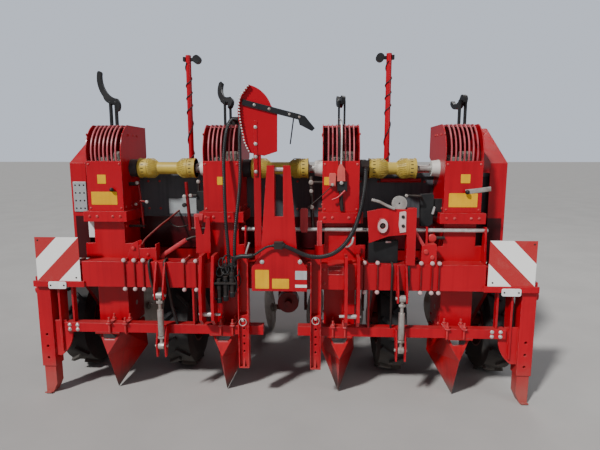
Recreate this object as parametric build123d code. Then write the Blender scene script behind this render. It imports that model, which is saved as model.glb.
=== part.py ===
from build123d import *
import math
import os

# A four-row mounted potato planter. Millimetres. X runs across the machine, Y to the rear, Z up from the
# ground. The origin lies on the ground under the middle of the machine's outer box.

# Rows and overall reach
row_pitch = 750
row_count = 4
side_reach = 475
overall_length = 2000
front_y = -overall_length / 2
rear_y = overall_length / 2
rows = [(index - (row_count - 1) / 2) * row_pitch for index in range(row_count)]
outer_reach = rows[-1] + side_reach

# Parking legs at the outer ends, in sleeves
sleeve_size = 90
sleeve_wall = 7
boss_length = 20
boss_radius = 30
boss_z = 705
sleeve_bottom_z = 192
sleeve_top_z = 800
sleeve_outer_x = outer_reach - boss_length
sleeve_inner_x = sleeve_outer_x - sleeve_size
sleeve_centre_x = sleeve_outer_x - sleeve_size / 2
slide_gap = 0.5
leg_size = sleeve_size - 2 * sleeve_wall - 2 * slide_gap
leg_length = 520
leg_hole_radius = 9
leg_hole_zs = [250, 330, 410]
shoe_height = 64
shoe_chamfer = 30
shoe_lip = 24
shoe_thickness = 8
guide_plate_thickness = 12
guide_plate_drop = 460

# Main beam with its narrower end pieces
beam_height = 164
beam_depth = 120
beam_wall = 8
beam_bottom_z = 742
link_plate_reach = 100
beam_end_length = 230
beam_half_length = sleeve_inner_x - beam_end_length
beam_front_y = front_y + link_plate_reach
beam_back_y = beam_front_y + beam_depth
beam_top_z = beam_bottom_z + beam_height
end_height = 130
end_inset = 17
end_setback = 20
end_bottom_z = beam_bottom_z + end_inset
end_top_z = end_bottom_z + end_height
sleeve_front_y = beam_front_y + 15
sleeve_centre_y = sleeve_front_y + sleeve_size / 2

# Warning panels on shelves in front of the beam ends
panel_size = 282
panel_thickness = 4
panel_inner_gap = 12
panel_inner_x = beam_half_length + panel_inner_gap
shelf_height = 38
shelf_depth = 12
panel_bottom_z = beam_bottom_z + shelf_height - 2
rib_width = 30

# Inner parking legs in open channels on the beam's front face
channel_centre_x = 224
channel_width = 66
channel_depth = 60
channel_wall = 6
channel_bottom_z = 250
channel_top_z = 962
inner_leg_length = 330
inner_foot_thickness = 8
inner_leg_width = channel_width - 2 * channel_wall - 2 * slide_gap
inner_leg_depth = 34
inner_hole_radius = 7
inner_hole_pitch = 50
inner_hole_count = 5
gusset_height = 46

# Three-point hitch
headstock_top_z = 1510
headstock_waist_z = 1120
headstock_top_half = 70
headstock_waist_half = 100
headstock_foot_half = 170
headstock_plate = 14
headstock_depth = 100
headstock_front_y = beam_front_y - 50
slot_half = 26
slot_bottom_z = 1206
top_pin_z = 1485
top_pin_y = headstock_front_y + 40
top_pin_radius = 12.5
cheek_thickness = 14
lower_pin_span = 889
lower_pin_z = 590
lower_pin_radius = 14
pin_bolt_radius = 9
pin_fit = 0.05
pin_end_gap = 0.3
link_plate_gap = 56
link_plate_thickness = 18
link_plate_bottom_z = 525
link_plate_top_z = 960
pin_y = front_y + 45

# Lower bar with the furrow openers, hung under the beam and set by two spindles
bar_size = 60
bar_wall = 6
bar_bottom_z = 437
bar_inner_x = 110
bar_outer_x = sleeve_inner_x - 85
bar_front_y = beam_front_y + 5
bar_back_y = bar_front_y + bar_size
bar_top_z = bar_bottom_z + bar_size
bar_centre_y = (bar_front_y + bar_back_y) / 2
hanger_thickness = 12
hanger_xs = [548, bar_outer_x - 60]
spindle_x = row_pitch
spindle_top_z = 705
spindle_bottom_z = 375
spindle_y = beam_front_y - 48
spindle_rod_radius = 11
spindle_body_radius = 19
spindle_eye_radius = 22
spindle_pin_radius = 10
ear_gap = 44
ear_thickness = 10

# Planting elements: a tall housing over each row, narrow below its flange, with a wider head above
head_half = 115
body_half = 100
flange_half = 140
plate = 6
element_depth = 380
head_overhang = 140
body_front_y = beam_back_y
cover_front_y = beam_front_y + 100
element_rear_y = beam_front_y + element_depth
head_rear_y = element_rear_y + head_overhang
flange_front_y = cover_front_y - 30
flange_rear_y = element_rear_y - 20
head_top_z = 1765
head_step_z = 1480
head_step_rise = 80
cover_top_z = 1535
cover_bottom_z = 1216
flange_bottom_z = 1150
element_bottom_z = 430
arch_reach = 115
arch_bow = 0.71
arch_set = 0.29
intake_bottom_z = 940
intake_top_z = 1350
lug_width = 62
lug_height = 95
lug_back_y = body_front_y + 70

# Belt of cups round two pulleys inside each housing
belt_y = beam_front_y + 255
upper_axis_z = 1487
lower_axis_z = 560
belt_radius = 70
belt_thickness = 6
belt_half = body_half - plate - 4
cup_rows = 20
cup_height = 40
cup_length = 50
cup_half = 38
cup_edge = 6
pulley_shaft_radius = 17
pulley_shaft_fit = 0.1
rod_count = 7
rod_width = 8
rod_depth = 9
rod_foot_z = cover_bottom_z + 260
rod_end_y = belt_y + 60

# Furrow openers: a V of two shares whose ridge leans forward below a three-cornered face
opener_top_z = element_bottom_z
opener_face_y = bar_front_y + 45
opener_face_half = 80
opener_ridge_y = bar_front_y - 15
opener_ridge_z = 290
opener_tip_y = bar_front_y + 115
opener_tip_z = 4
opener_tip_half = 5
opener_wing_y = bar_front_y + 365
opener_wing_z = 205
opener_wing_half = 118
opener_wall = 6
opener_rear_y = opener_wing_y - 40

# Driveline between the elements: gaps beside each guard, from the left gap to the right one
guard_gaps = [(57, 84), (57, 91), (69, 147)]
guard_bell_radius = 63
guard_waist_radius = 40
guard_bell_length = 70
guard_taper_length = 55
collar_radius = 58
collar_length = 50
cone_length = 50
joint_radius = 30
cross_shaft_radius = 13
cross_shaft_z = 1105
cross_shaft_y = beam_front_y + 100
cross_shaft_left_x = -250
cross_shaft_right_x = 1290
cross_shaft_rests = [-230, 600, 905, cross_shaft_right_x - 25]

# Drive console on the beam's right half, and the forked bracket on its left half
console_left_x = 530
console_right_x = 722
console_post_x = 770
console_post_width = 55
console_top_z = 1248
console_y = beam_front_y - 8
console_thickness = 12
console_boss_x = 623
console_boss_z = 1150
fork_x = -485
fork_half = 46
fork_top_z = 1190

# Ground wheels
wheel_reach = 440
wheel_y = beam_back_y + wheel_reach
wheel_radius = 370
tyre_half = 100
wheel_side_gap = 20
outer_wheel_x = outer_reach - wheel_side_gap - tyre_half
wheel_xs = [-outer_wheel_x, -row_pitch, row_pitch, outer_wheel_x]
tread_depth = 24
lug_count = 11
lug_thickness = 24
lug_root = 12
lug_overlap = 8
lug_end_gap = 20
lug_angle = 40
tyre_shoulder = 14
rim_radius = 195
rim_half = 84
rim_wall = 10
tyre_bulge_radius = 280
hub_radius = 62
hub_half = 45
axle_radius = 25
axle_fit = 0.05
wheel_bolt_circle = 125
wheel_hole_radius = 24
arm_clearance = 30
arm_thickness = 22

# Rear frame and covering discs
rail_width = 60
rail_bottom_z = 765
rail_top_z = 855
rail_xs = [550, 1290]
cross_tube_size = 80
cross_tube_top_z = 925
cross_tube_y = element_rear_y + 8
cross_tube_half = rail_xs[-1] + rail_width / 2
gearbox_x = 22
gearbox_z = 530
gearbox_radius = 75
gearbox_length = 90
tool_tube_size = 80
tool_tube_half = 1410
tool_tube_reach = 880
tool_tube_y = beam_back_y + tool_tube_reach
tool_tube_bottom_z = 520
disc_radius = 210
disc_offset = 200
disc_trail = 230
disc_toe = 20
disc_dish = 36
disc_thickness = 5
disc_hub_radius = 38
disc_hub_half = 22
disc_pin_radius = 15
disc_pin_reach = 62
disc_arm_half = 12

# Seed hopper
hopper_half = outer_reach - 125
hopper_wall = 5
hopper_floor_z = cross_tube_top_z + 10
hopper_tail_length = 580
hopper_knee_y = rear_y - hopper_tail_length
hopper_knee_z = 962
hopper_rear_bottom_z = 1330
hopper_front_rim_z = 1430
hopper_rim_z = 1450
hopper_rim_size = 25
side_front_y = beam_front_y + 330
side_front_top_z = 1520
side_rise_length = 420
side_crest_length = 240
side_peak_front_y = side_front_y + side_rise_length
side_peak_rear_y = side_peak_front_y + side_crest_length
side_peak_z = 1770
side_flange = 110

# Hose guide plate on its post, with the black hose arm in front of it
post_x = -139
post_width = 44
post_depth = 24
post_y = beam_front_y + 40
post_top_z = 1930
guide_thickness = 6
guide_rim = 22
arm_bar_thickness = 10
arm_bar_height = 34
arm_start_x = post_x - 83
arm_end_x = post_x + 252
arm_start_z = post_top_z - 46
arm_end_z = post_top_z - 133

# Lamp poles on the inside of the hopper's front wall
pole_xs = [-648, 695]
pole_radius = 18
pole_bottom_z = 1180
pole_top_z = 2236
pole_clamp = 10
pole_y = element_rear_y + pole_clamp + pole_radius
lamp_radius = 27
lamp_depth = 46
lamp_bracket = 14

# Levers on top of the elements: sideways place, turn and lean of each, from the left row to the right one
lever_settings = [(-28, 0, 0), (0, -30, 33), (10, -78, 54), (45, -86, 64)]
lever_strap_height = 150
lever_strap_width = 13
lever_strap_gap = 12
lever_thickness = 26
lever_y = rod_end_y + 30

# Hoses that hang from the elements to their holder on the beam: the diameter, and the points along each route
# as X, distance behind the beam's front face, Z
hose_routes = {
    "hose_1": (21, [
        (-322, 325, 1800), (-324, 260, 1803), (-329, 195, 1793), (-335, 135, 1757), (-340, 90, 1698),
        (-344, 58, 1620), (-345, 36, 1525), (-341, 20, 1420), (-338, 7, 1300), (-333, -5, 1180),
        (-324, -16, 1080), (-316, -24, 985), (-315, -25, 900),
    ]),
    "hose_2": (21, [
        (-268, 325, 1800), (-266, 260, 1803), (-262, 195, 1793), (-258, 135, 1757), (-254, 90, 1698),
        (-249, 60, 1620), (-244, 40, 1530), (-243, 24, 1430), (-250, 11, 1325), (-262, -1, 1220),
        (-274, -12, 1110), (-279, -22, 1000), (-278, -25, 885),
    ]),
    "hose_3": (26, [
        (530, 130, 1490), (531, 128, 1432), (522, 105, 1360), (508, 72, 1285), (489, 38, 1210),
        (462, 3, 1137), (425, -30, 1071), (377, -58, 1017), (318, -74, 980), (250, -81, 965),
        (185, -83, 969), (128, -83, 990), (80, -82, 1015), (36, -80, 1032),
    ]),
    "hose_4": (14, [
        (-289, -62, 860), (-289, -62, 895), (-281, -67, 930), (-259, -74, 957), (-226, -80, 968),
        (-190, -84, 966), (-155, -84, 972), (-123, -83, 991), (-94, -82, 1013), (-65, -81, 1029),
        (-36, -80, 1032),
    ]),
}
coupler_radius = 14
coupler_nut_radius = 17
coupler_length = 150
ferrule_length = 24
ferrule_wall = 4
holder_left_x = -395
holder_right_x = -262
holder_z = 790
holder_thickness = 10
parked_couplers = [(-352, -25, 850), (-372, -56, 820), (-330, -60, 835)]

os.makedirs("parts", exist_ok=True)


def block(x0, x1, y0, y1, z0, z1):
    """A box between two corners."""
    return Pos((x0 + x1) / 2, (y0 + y1) / 2, (z0 + z1) / 2) * Box(x1 - x0, y1 - y0, z1 - z0)


def side_slab(points, x0, x1):
    """A side view outline of (y, z) points, as thick as x0 to x1."""
    return extrude(Plane.YZ.offset(x0) * Polygon(*points, align=None), x1 - x0, dir=(1, 0, 0))


def front_plane(y):
    """A front view plane at a depth: local X to the right, local Y up."""
    return Plane(origin=(0, y, 0), x_dir=(1, 0, 0), z_dir=(0, -1, 0))


def front_slab(points, y0, y1):
    """A front view outline of (x, z) points, as deep as y0 to y1."""
    return extrude(front_plane(y1) * Polygon(*points, align=None), y1 - y0, dir=(0, -1, 0))


def bar(start, end, radius):
    """A round bar from one point to another."""
    start, end = Vector(*start), Vector(*end)
    return extrude(Plane(origin=start, z_dir=end - start) * Circle(radius), (end - start).length)


def x_bar(x0, x1, y, z, radius):
    return bar((x0, y, z), (x1, y, z), radius)


def y_bar(x, y0, y1, z, radius):
    return bar((x, y0, z), (x, y1, z), radius)


def both_sides(shape):
    """The shape and its mirror image across the machine's middle plane."""
    return [shape, shape.mirror(Plane.YZ)]


def at_rows(shape):
    return [Pos(x, 0, 0) * shape for x in rows]


def save(name, *shapes):
    """Writes one sub-part, whose solids may lie apart."""
    solids = []
    for shape in shapes:
        solids += shape.solids()
    for solid in solids:
        solid.label = name
    whole = solids[0] if len(solids) == 1 else Compound(children=solids, label=name)
    export_step(whole, f"parts/{name}.step")


def build_beam():
    """Box beam with closed ends, and on each side the end piece with the shelf of its warning panel."""
    beam = block(-beam_half_length, beam_half_length, beam_front_y, beam_back_y, beam_bottom_z, beam_top_z)
    beam -= block(
        -beam_half_length + beam_wall, beam_half_length - beam_wall,
        beam_front_y + beam_wall, beam_back_y - beam_wall,
        beam_bottom_z + beam_wall, beam_top_z - beam_wall,
    )
    end_front_y = beam_front_y + end_setback
    end = block(beam_half_length, sleeve_inner_x, end_front_y, beam_back_y, end_bottom_z, end_top_z)
    end += block(beam_half_length - panel_inner_gap, sleeve_outer_x, beam_front_y - shelf_depth,
                 beam_front_y,
                 panel_bottom_z - shelf_height, panel_bottom_z)
    for x in (panel_inner_x + 2 * rib_width, sleeve_inner_x - 2 * rib_width):
        end += block(x, x + rib_width, beam_front_y, end_front_y, end_bottom_z, end_top_z)
    for side in both_sides(end):
        beam += side
    save("main_beam", beam)
    panel = block(panel_inner_x, panel_inner_x + panel_size, beam_front_y - panel_thickness, beam_front_y,
                  panel_bottom_z, panel_bottom_z + panel_size)
    save("warning_panels", *both_sides(panel))


def build_sleeves():
    """Outer sleeves with their guide plates for the lower bar, and the open channels of the inner legs."""
    sleeve_back_y = sleeve_front_y + sleeve_size
    sleeve = block(
        sleeve_inner_x, sleeve_outer_x, sleeve_front_y, sleeve_back_y, sleeve_bottom_z, sleeve_top_z,
    )
    sleeve -= block(
        sleeve_inner_x + sleeve_wall, sleeve_outer_x - sleeve_wall,
        sleeve_front_y + sleeve_wall, sleeve_back_y - sleeve_wall,
        sleeve_bottom_z - 1, sleeve_top_z - sleeve_wall,
    )
    for z in leg_hole_zs:
        sleeve -= y_bar(sleeve_centre_x, sleeve_front_y - 1, sleeve_front_y + sleeve_wall + 1, z,
                        leg_hole_radius)
    sleeve += x_bar(sleeve_outer_x, outer_reach, sleeve_centre_y, boss_z, boss_radius)
    quadrant_y = bar_centre_y - guide_plate_thickness / 2
    low_z = bar_bottom_z - 175
    edges = [
        Line((sleeve_inner_x, bar_top_z + 8), (bar_outer_x, bar_top_z + 8)),
        Line((bar_outer_x, bar_top_z + 8), (bar_outer_x, bar_bottom_z)),
        Line((bar_outer_x, bar_bottom_z), (bar_outer_x - 35, bar_bottom_z)),
        ThreePointArc((bar_outer_x - 35, bar_bottom_z), (bar_outer_x - 8, low_z + 62),
                      (bar_outer_x + 48, low_z)),
        Line((bar_outer_x + 48, low_z), (sleeve_inner_x, low_z)),
        Line((sleeve_inner_x, low_z), (sleeve_inner_x, bar_top_z + 8)),
    ]
    quadrant = extrude(front_plane(quadrant_y + guide_plate_thickness) * make_face(Wire(edges)),
                       guide_plate_thickness, dir=(0, -1, 0))
    guide_x = bar_outer_x + 25
    guide = block(guide_x, guide_x + guide_plate_thickness, sleeve_front_y, sleeve_back_y,
                  end_bottom_z - guide_plate_drop, end_bottom_z)
    channel = block(
        channel_centre_x - channel_width / 2, channel_centre_x + channel_width / 2,
        beam_front_y - channel_depth, beam_front_y, channel_bottom_z, channel_top_z,
    )
    channel -= block(
        channel_centre_x - channel_width / 2 + channel_wall,
        channel_centre_x + channel_width / 2 - channel_wall,
        beam_front_y - channel_depth - 1, beam_front_y - channel_wall, channel_bottom_z - 1,
        channel_top_z + 1,
    )
    save("stand_sleeves", *both_sides(sleeve + quadrant + guide), *both_sides(channel))


def build_legs():
    """Outer legs on chamfered shoes with a bent lip, and the inner legs with their gusset feet."""
    x0, x1 = sleeve_centre_x - leg_size / 2, sleeve_centre_x + leg_size / 2
    y0, y1 = sleeve_centre_y - leg_size / 2, sleeve_centre_y + leg_size / 2
    leg = block(x0, x1, y0, y1, shoe_height, leg_length)
    leg += front_slab([(x0, shoe_height), (x0 + shoe_chamfer, 0), (x1, 0), (x1, shoe_height)], y0, y1)
    leg += side_slab([(y0, 0), (y0, shoe_thickness), (y0 - shoe_lip, 2 * shoe_thickness),
                      (y0 - shoe_lip, shoe_thickness)],
                     x0 + shoe_chamfer, x1)
    for z in leg_hole_zs:
        leg -= y_bar(sleeve_centre_x, y0 - 1, y1 + 1, z, leg_hole_radius)
    right, left = both_sides(leg)
    save("outer_leg_right", right)
    save("outer_leg_left", left)

    back_y = beam_front_y - channel_wall - slide_gap
    front = back_y - inner_leg_depth
    x0, x1 = channel_centre_x - inner_leg_width / 2, channel_centre_x + inner_leg_width / 2
    foot_z = channel_bottom_z - slide_gap
    leg = block(x0, x1, front, back_y, foot_z, channel_bottom_z + inner_leg_length)
    leg += block(
        channel_centre_x - channel_width / 2, channel_centre_x + channel_width / 2,
        beam_front_y - channel_depth, back_y, foot_z - inner_foot_thickness, foot_z,
    )
    leg += side_slab(
        [(front, foot_z), (beam_front_y - channel_depth, foot_z), (front, foot_z + gusset_height)],
        channel_centre_x - inner_foot_thickness / 2, channel_centre_x + inner_foot_thickness / 2,
    )
    for index in range(inner_hole_count):
        z = channel_bottom_z + gusset_height + (index + 1) * inner_hole_pitch
        leg -= y_bar(channel_centre_x, front - 1, back_y + 1, z, inner_hole_radius)
    right, left = both_sides(leg)
    save("inner_leg_right", right)
    save("inner_leg_left", left)


def hitch_pin(x0, x1, middle, half, y, z, radius):
    """A bolt from x0 to x1 with a bush on it that fills the gap at its middle."""
    bush = x_bar(middle - half + pin_end_gap, middle + half - pin_end_gap, y, z, radius)
    return bush + x_bar(x0, x1, y, z, pin_bolt_radius - pin_fit)


def build_hitch():
    flare_z = beam_top_z + 70
    right_edge = [
        (headstock_foot_half, beam_bottom_z), (headstock_foot_half, beam_top_z - 20),
        (headstock_waist_half + 10, flare_z), (headstock_waist_half, headstock_waist_z),
        (headstock_top_half, headstock_top_z), (slot_half, headstock_top_z), (slot_half, slot_bottom_z),
    ]
    outline = right_edge + [(-x, z) for x, z in reversed(right_edge)]
    stock = front_slab(outline, headstock_front_y, headstock_front_y + headstock_plate)
    cheek = side_slab(
        [
            (headstock_front_y, beam_top_z), (headstock_front_y, headstock_top_z),
            (headstock_front_y + 70, headstock_top_z), (headstock_front_y + headstock_depth, slot_bottom_z),
            (beam_front_y + beam_depth / 2, beam_top_z),
        ],
        slot_half, slot_half + cheek_thickness,
    )
    for side in both_sides(cheek):
        stock += side
    stock += block(-headstock_foot_half, headstock_foot_half, headstock_front_y + headstock_plate,
                   beam_front_y,
                   beam_bottom_z, beam_top_z)
    stock -= x_bar(-headstock_foot_half, headstock_foot_half, top_pin_y, top_pin_z, pin_bolt_radius)
    save("headstock", stock)
    pin_half = headstock_top_half - 8
    pins = [hitch_pin(-pin_half, pin_half, 0, slot_half, top_pin_y, top_pin_z, top_pin_radius)]

    centre, half = lower_pin_span / 2, link_plate_gap / 2
    plate_outline = [
        (front_y, link_plate_bottom_z + 40), (front_y + 40, link_plate_bottom_z),
        (beam_front_y, link_plate_bottom_z),
        (beam_front_y, beam_top_z), (beam_front_y + 80, beam_top_z), (beam_front_y + 60, link_plate_top_z),
        (beam_front_y - 60, link_plate_top_z), (front_y, beam_bottom_z),
    ]
    plates = []
    for x0 in (centre - half - link_plate_thickness, centre + half):
        x1 = x0 + link_plate_thickness
        slab = side_slab(plate_outline, x0, x1) - x_bar(x0 - 1, x1 + 1, pin_y, lower_pin_z, pin_bolt_radius)
        plates += both_sides(slab)
    save("link_plates", *plates)
    lower_pin = hitch_pin(centre - half - link_plate_thickness - 30,
                          centre + half + link_plate_thickness + 12,
                          centre, half, pin_y, lower_pin_z, lower_pin_radius)
    save("hitch_pins", *pins, *both_sides(lower_pin))


def build_lower_bar():
    """The lower bar in two halves, its hangers, and the ears of its two spindles."""
    half = block(bar_inner_x, bar_outer_x, bar_front_y, bar_back_y, bar_bottom_z, bar_top_z)
    half -= block(
        bar_inner_x + bar_wall, bar_outer_x - bar_wall, bar_front_y + bar_wall, bar_back_y - bar_wall,
        bar_bottom_z + bar_wall, bar_top_z - bar_wall,
    )
    save("lower_bars", *both_sides(half))
    hung = []
    for x in hanger_xs:
        top_z = beam_bottom_z if x < beam_half_length else end_bottom_z
        front = bar_front_y if x < beam_half_length else bar_front_y + end_setback
        hung += both_sides(block(x, x + hanger_thickness, front, bar_back_y, bar_top_z, top_z))
    eye = spindle_pin_radius + 6
    upper_outline = [
        (beam_front_y, beam_top_z), (beam_front_y - 12, beam_top_z), (spindle_y - 22, spindle_top_z + 40),
        (spindle_y - eye, spindle_top_z - 26), (spindle_y + eye, spindle_top_z - 26),
        (beam_front_y, beam_bottom_z),
    ]
    lower_outline = [
        (bar_front_y, bar_top_z), (spindle_y + 10, bar_top_z), (spindle_y - 20, spindle_bottom_z + 20),
        (spindle_y - 14, spindle_bottom_z - 70), (spindle_y + 8, spindle_bottom_z - 70),
        (spindle_y + 26, spindle_bottom_z), (bar_front_y, bar_bottom_z),
    ]
    for x0 in (spindle_x - ear_gap / 2 - ear_thickness, spindle_x + ear_gap / 2):
        x1 = x0 + ear_thickness
        for outline, z in ((upper_outline, spindle_top_z), (lower_outline, spindle_bottom_z)):
            hung += both_sides(side_slab(outline, x0, x1) - x_bar(x0 - 1, x1 + 1, spindle_y, z,
                                                                  spindle_pin_radius))
    save("bar_hangers", *hung)


def build_spindles():
    """Turnbuckles that set the depth of the lower bar: threaded rod, tube body and an eye at each end."""
    spindle = bar((spindle_x, spindle_y, spindle_bottom_z), (spindle_x, spindle_y, spindle_top_z),
                  spindle_rod_radius)
    spindle += bar((spindle_x, spindle_y, spindle_bottom_z + 70),
                   (spindle_x, spindle_y, spindle_top_z - 90),
                   spindle_body_radius)
    eye_half = ear_gap / 2 - 4
    reach = ear_gap / 2 + ear_thickness + 8
    for z in (spindle_bottom_z, spindle_top_z):
        spindle += x_bar(spindle_x - eye_half, spindle_x + eye_half, spindle_y, z, spindle_eye_radius)
        spindle += x_bar(spindle_x - reach, spindle_x + reach, spindle_y, z,
                         spindle_pin_radius - 2 * pin_fit)
    save("depth_spindles", *both_sides(spindle))


def head_outline():
    """Side view of an element's head: straight front, arched top corner, and the box over the hopper."""
    bow = (cover_front_y + arch_reach * arch_set, cover_top_z + (head_top_z - cover_top_z) * arch_bow)
    corners = [
        (cover_front_y + arch_reach, head_top_z), (head_rear_y, head_top_z),
        (head_rear_y, head_step_z + head_step_rise), (element_rear_y, head_step_z),
        (element_rear_y, flange_bottom_z), (cover_front_y, flange_bottom_z), (cover_front_y, cover_top_z),
    ]
    edges = [Line(a, b) for a, b in zip(corners, corners[1:])]
    edges.append(ThreePointArc(corners[-1], bow, corners[0]))
    return make_face(Wire(edges))


def build_housing():
    inner_half = head_half - plate
    body_inner = body_half - plate
    head = extrude(Plane.YZ.offset(inner_half) * head_outline(), plate, dir=(1, 0, 0))
    body = block(body_inner, body_half, body_front_y, element_rear_y, element_bottom_z,
                 flange_bottom_z + plate)
    shell = head + head.mirror(Plane.YZ) + body + body.mirror(Plane.YZ)
    flange = block(-flange_half, flange_half, flange_front_y, flange_rear_y, flange_bottom_z,
                   cover_bottom_z)
    flange -= block(-body_inner, body_inner, body_front_y, flange_rear_y + 1, flange_bottom_z - 1,
                    cover_bottom_z + 1)
    shell += flange
    for x in (-head_half, body_inner):
        shell += block(x, x + head_half - body_inner, flange_rear_y, element_rear_y, flange_bottom_z,
                       flange_bottom_z + plate)
    shell += block(-body_half, body_half, body_front_y, body_front_y + plate, element_bottom_z,
                   flange_bottom_z + plate)
    shell += block(-body_half, body_half, element_rear_y - plate, element_rear_y, element_bottom_z,
                   flange_bottom_z + plate)
    shell += block(-head_half, head_half, element_rear_y - plate, element_rear_y, flange_bottom_z,
                   head_step_z)
    slope_z = head_step_z + head_step_rise
    shell += side_slab(
        [
            (element_rear_y - plate, head_step_z), (element_rear_y, head_step_z), (head_rear_y, slope_z),
            (head_rear_y, slope_z + plate), (element_rear_y - plate, head_step_z + plate),
        ],
        -inner_half, inner_half,
    )
    shell += block(-inner_half, inner_half, head_rear_y - plate, head_rear_y, slope_z, head_top_z)
    shell += block(-inner_half, inner_half, rod_end_y, head_rear_y, head_top_z - plate, head_top_z)
    shell -= block(-body_inner, body_inner, element_rear_y - plate - 1, element_rear_y + 1, intake_bottom_z,
                   intake_top_z)
    for x in (-body_half - lug_width, body_half):
        shell += side_slab(
            [
                (body_front_y, beam_top_z), (lug_back_y, beam_top_z),
                (lug_back_y, beam_top_z + lug_height * 0.6),
                (body_front_y + 30, beam_top_z + lug_height), (body_front_y, beam_top_z + lug_height),
            ],
            x, x + lug_width,
        )
    for z in (upper_axis_z, lower_axis_z):
        shell -= x_bar(-flange_half, flange_half, belt_y, z, pulley_shaft_radius + pulley_shaft_fit)
    for number, x in enumerate(rows):
        save(f"element_housing_{row_count - number}", Pos(x, 0, 0) * shell)
    cover = block(-head_half, head_half, cover_front_y - plate, cover_front_y, cover_bottom_z, cover_top_z)
    save("front_covers", *at_rows(cover))


def stadium(radius, half):
    """A loop round both pulleys, at a radius, as wide as twice half."""
    centre_z, height = (upper_axis_z + lower_axis_z) / 2, upper_axis_z - lower_axis_z
    slot = Rot(0, 0, 90) * SlotOverall(height + 2 * radius, 2 * radius)
    outline = Plane.YZ.offset(-half) * Pos(belt_y, centre_z) * slot
    return extrude(outline, 2 * half, dir=(1, 0, 0))


def loop_place(distance):
    """Place on the belt's outer face: y, z, and the angle of the outward direction."""
    height = upper_axis_z - lower_axis_z
    arc = math.pi * belt_radius
    distance %= 2 * height + 2 * arc
    if distance < height:
        return belt_y - belt_radius, lower_axis_z + distance, 180
    distance -= height
    if distance < arc:
        angle, centre_z = 180 - math.degrees(distance / belt_radius), upper_axis_z
    elif distance < arc + height:
        return belt_y + belt_radius, upper_axis_z - (distance - arc), 0
    else:
        angle, centre_z = -math.degrees((distance - arc - height) / belt_radius), lower_axis_z
    return (belt_y + belt_radius * math.cos(math.radians(angle)),
            centre_z + belt_radius * math.sin(math.radians(angle)), angle)


def build_belts():
    """Endless belts with two staggered columns of cups, and the pulleys and shafts that drive them."""
    belt = stadium(belt_radius, belt_half) - stadium(belt_radius - belt_thickness, belt_half + 1)
    loop_length = 2 * (upper_axis_z - lower_axis_z) + 2 * math.pi * belt_radius
    pitch = loop_length / cup_rows
    cup = Polygon(
        (-2, -cup_length / 2), (-2, cup_length / 2), (cup_height * 0.6, cup_length / 2),
        (cup_height, cup_length * 0.1), (cup_height * 0.8, -cup_length * 0.2), align=None,
    )
    for index in range(2 * cup_rows):
        y, z, angle = loop_place(index * pitch / 2)
        x0 = -belt_half + cup_edge if index % 2 else belt_half - cup_edge - 2 * cup_half
        belt += extrude(Plane.YZ.offset(x0) * Pos(y, z) * Rot(0, 0, angle) * cup, 2 * cup_half,
                        dir=(1, 0, 0))
    save("cup_belts", *at_rows(belt))
    pulleys = []
    for z, half in ((upper_axis_z, head_half), (lower_axis_z, body_half)):
        pulley = x_bar(-belt_half, belt_half, belt_y, z, belt_radius - belt_thickness)
        pulleys += at_rows(pulley + x_bar(-half, half, belt_y, z, pulley_shaft_radius))
    for (left, right), (start, end) in zip(zip(rows, rows[1:]), guard_gaps):
        x0, x1 = left + head_half, right - head_half
        inner = x1 - cone_length
        pulleys.append(x_bar(x1 - end, inner, belt_y, upper_axis_z, joint_radius * 0.7)
                       + x_bar(x1 - end, x1 - end + 8, belt_y, upper_axis_z, joint_radius)
                       + x_bar(inner - 8, inner, belt_y, upper_axis_z, joint_radius))
        if start > collar_length:
            pulleys.append(x_bar(x0 + collar_length, x0 + start, belt_y, upper_axis_z, joint_radius))
    save("belt_pulleys", *pulleys)


def build_rods():
    """Bowed flat bars over the top of each belt, on one cross bar."""
    front, top = cover_front_y, head_top_z
    rise = (top - cover_top_z) * arch_bow
    outer_bow = (front + arch_reach * arch_set, cover_top_z + rise)
    inner_bow = (outer_bow[0] + rod_depth * 0.75, outer_bow[1] - rod_depth * 0.5)
    edges = [
        Line((front, rod_foot_z), (front, cover_top_z)),
        ThreePointArc((front, cover_top_z), outer_bow, (front + arch_reach, top)),
        Line((front + arch_reach, top), (rod_end_y, top)),
        Line((rod_end_y, top), (rod_end_y, top - rod_depth)),
        Line((rod_end_y, top - rod_depth), (front + arch_reach, top - rod_depth)),
        ThreePointArc((front + arch_reach, top - rod_depth), inner_bow, (front + rod_depth, cover_top_z)),
        Line((front + rod_depth, cover_top_z), (front + rod_depth, rod_foot_z)),
        Line((front + rod_depth, rod_foot_z), (front, rod_foot_z)),
    ]
    profile = make_face(Wire(edges))
    inner_half = head_half - plate
    pitch = (2 * inner_half - rod_width) / (rod_count + 1)
    cage = block(-inner_half, inner_half, rod_end_y - 40, rod_end_y, top - rod_depth - plate,
                 top - rod_depth)
    for index in range(rod_count):
        x0 = -inner_half + (index + 1) * pitch
        cage += extrude(Plane.YZ.offset(x0) * profile, rod_width, dir=(1, 0, 0))
    save("guide_rods", *at_rows(cage))


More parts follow.
